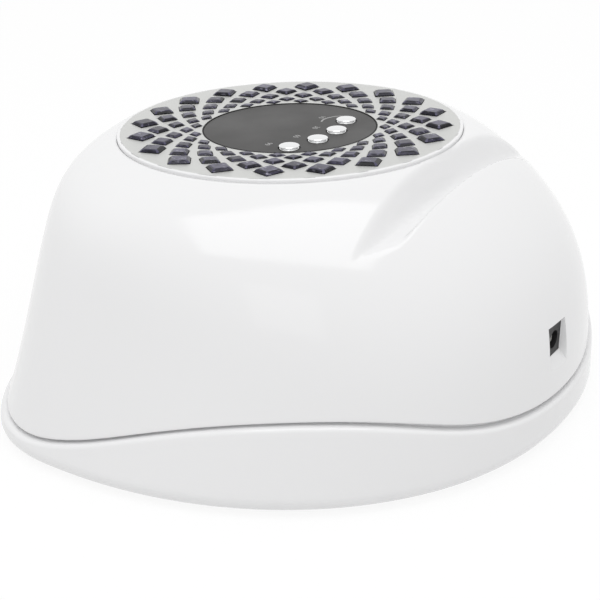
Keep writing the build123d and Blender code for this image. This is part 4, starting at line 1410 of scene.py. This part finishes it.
@dataclass
class Carryover:
    """CAD nodes that keep their own solids and only get a finish."""

    finishes: Finishes

    def build(self) -> None:
        """Dress every CAD node that is still shown, by the first word of the list in its name."""
        f = self.finishes
        rules: list[tuple[str, bpy.types.Material]] = [
            ("rubber_feet", f.rubber), ("magnets", f.magnet), ("screws", f.screw), ("led_board", f.board),
            ("sensor", f.window), ("plunger", f.plunger), ("push_switches", f.block), ("display", f.block),
            ("control_board", f.board_green), ("jack_board", f.board_green), ("dc_jack_pin", f.magnet),
            ("dc_jack", f.jack),
        ]
        for name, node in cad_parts.items():
            if node.hide_render:
                continue
            dress(node, next((material for word, material in rules if word in name), f.shell))
            log.info("%s keeps its solid", name)


@dataclass(frozen=True)
class Softbox:
    """Rectangular light that points at a spot, all in millimetres and watts."""

    name: str
    place: tuple
    target: tuple
    size: tuple
    watts: float

    def build(self) -> None:
        """Put the light in the scene."""
        data = bpy.data.lights.new(self.name, "AREA")
        data.shape, data.size, data.size_y = "RECTANGLE", self.size[0] * MM, self.size[1] * MM
        data.energy = self.watts
        light = bpy.data.objects.new(self.name, data)
        spot = Vector(self.place) * MM
        aim = Vector(self.target) * MM - spot
        light.matrix_world = Matrix.Translation(spot) @ aim.to_track_quat("-Z", "Y").to_matrix().to_4x4()
        bpy.context.scene.collection.objects.link(light)


@dataclass
class Studio:
    """White sweep, soft lights and the camera at the photograph's angle."""

    position: tuple = (354.54, 226.72, 224.14)
    right: tuple = (-0.5564, 0.8309, -0.0076)
    down: tuple = (0.357, 0.2308, -0.9051)
    forward: tuple = (-0.7503, -0.5063, -0.4251)
    lens: float = 73.344
    world_level: float = 0.74
    floor_glow: float = 0.87
    glow_level: float = 1.03
    floor_half: float = 6000.0
    lights: tuple = (
        Softbox("top_softbox", (250, 150, 1300), (0, 0, 60), (1100, 900), 5.6),
        Softbox("side_softbox", (1000, 500, 650), (0, 0, 50), (500, 500), 0.4),
    )

    def build_camera(self) -> None:
        """Camera fitted to the photograph."""
        data = bpy.data.cameras.new("camera")
        data.lens, data.sensor_width = self.lens, 36.0
        data.clip_start, data.clip_end = 0.01, 20.0
        camera = bpy.data.objects.new("camera", data)
        axes = np.stack([self.right, -np.array(self.down), -np.array(self.forward)], -1)
        left, _, right = np.linalg.svd(axes)
        turn = Matrix((left @ right).tolist()).to_4x4()
        camera.matrix_world = Matrix.Translation(Vector(self.position) * MM) @ turn
        bpy.context.scene.collection.objects.link(camera)
        bpy.context.scene.camera = camera

    def build_floor(self) -> None:
        """Pale floor that keeps the lamp's shadow; to the eye it glows nearly white."""
        half = self.floor_half
        corners = np.array([[-half, -half, 0], [half, -half, 0], [half, half, 0], [-half, half, 0]])
        floor = new_piece("floor", corners, [(0, 1, 2, 3)])
        n = Nodes("studio_floor")
        speck = n.noise(3.0, 2.0)
        n.link(n.mix(speck, rgb(0.8, 0.8, 0.8), rgb(0.82, 0.82, 0.82)), n.shader.inputs["Base Color"])
        n.set(Roughness=0.9, Specular_IOR_Level=0.1)
        glow = n.add("ShaderNodeEmission", {"Color": rgb(1, 1, 1), "Strength": self.glow_level})
        share = n.add("ShaderNodeMath", {0: n.seen(), 1: self.floor_glow}, operation="MULTIPLY")
        inputs = {0: share.outputs[0], 1: n.shader.outputs[0], 2: glow.outputs[0]}
        n.link(n.add("ShaderNodeMixShader", inputs).outputs[0], n.output.inputs[0])
        dress(floor, n.material)

    def build_world(self) -> None:
        """Even white surroundings: full white to the camera, gloss and glass, and a softer level as light."""
        world = bpy.data.worlds.new("studio")
        world.use_nodes = True
        bpy.context.scene.world = world
        tree = Tree(world.node_tree)
        white = tree.add("ShaderNodeBackground", {0: rgb(1, 1, 1), 1: 1.0})
        light = tree.add("ShaderNodeBackground", {0: rgb(1, 1, 1), 1: self.world_level})
        blend = tree.add("ShaderNodeMixShader", {0: tree.seen(), 1: light.outputs[0], 2: white.outputs[0]})
        tree.add("ShaderNodeOutputWorld", {0: blend.outputs[0]})

    def build(self) -> None:
        """Camera, floor, world and two softboxes."""
        self.build_camera()
        self.build_floor()
        self.build_world()
        for light in self.lights:
            light.build()
        bpy.context.scene.view_settings.view_transform = "Standard"


def main() -> None:
    """Build the lamp and its studio."""
    form = DomeForm()
    finishes = Finishes()
    housing = Housing(form, finishes)
    Studio().build()
    housing.build_shell()
    housing.build_base()
    housing.build_tray()
    Hood(finishes).build()
    Disc(form, finishes).build()
    Buttons(form, finishes).build()
    Carryover(finishes).build()


if __name__ == "__main__":
    main()
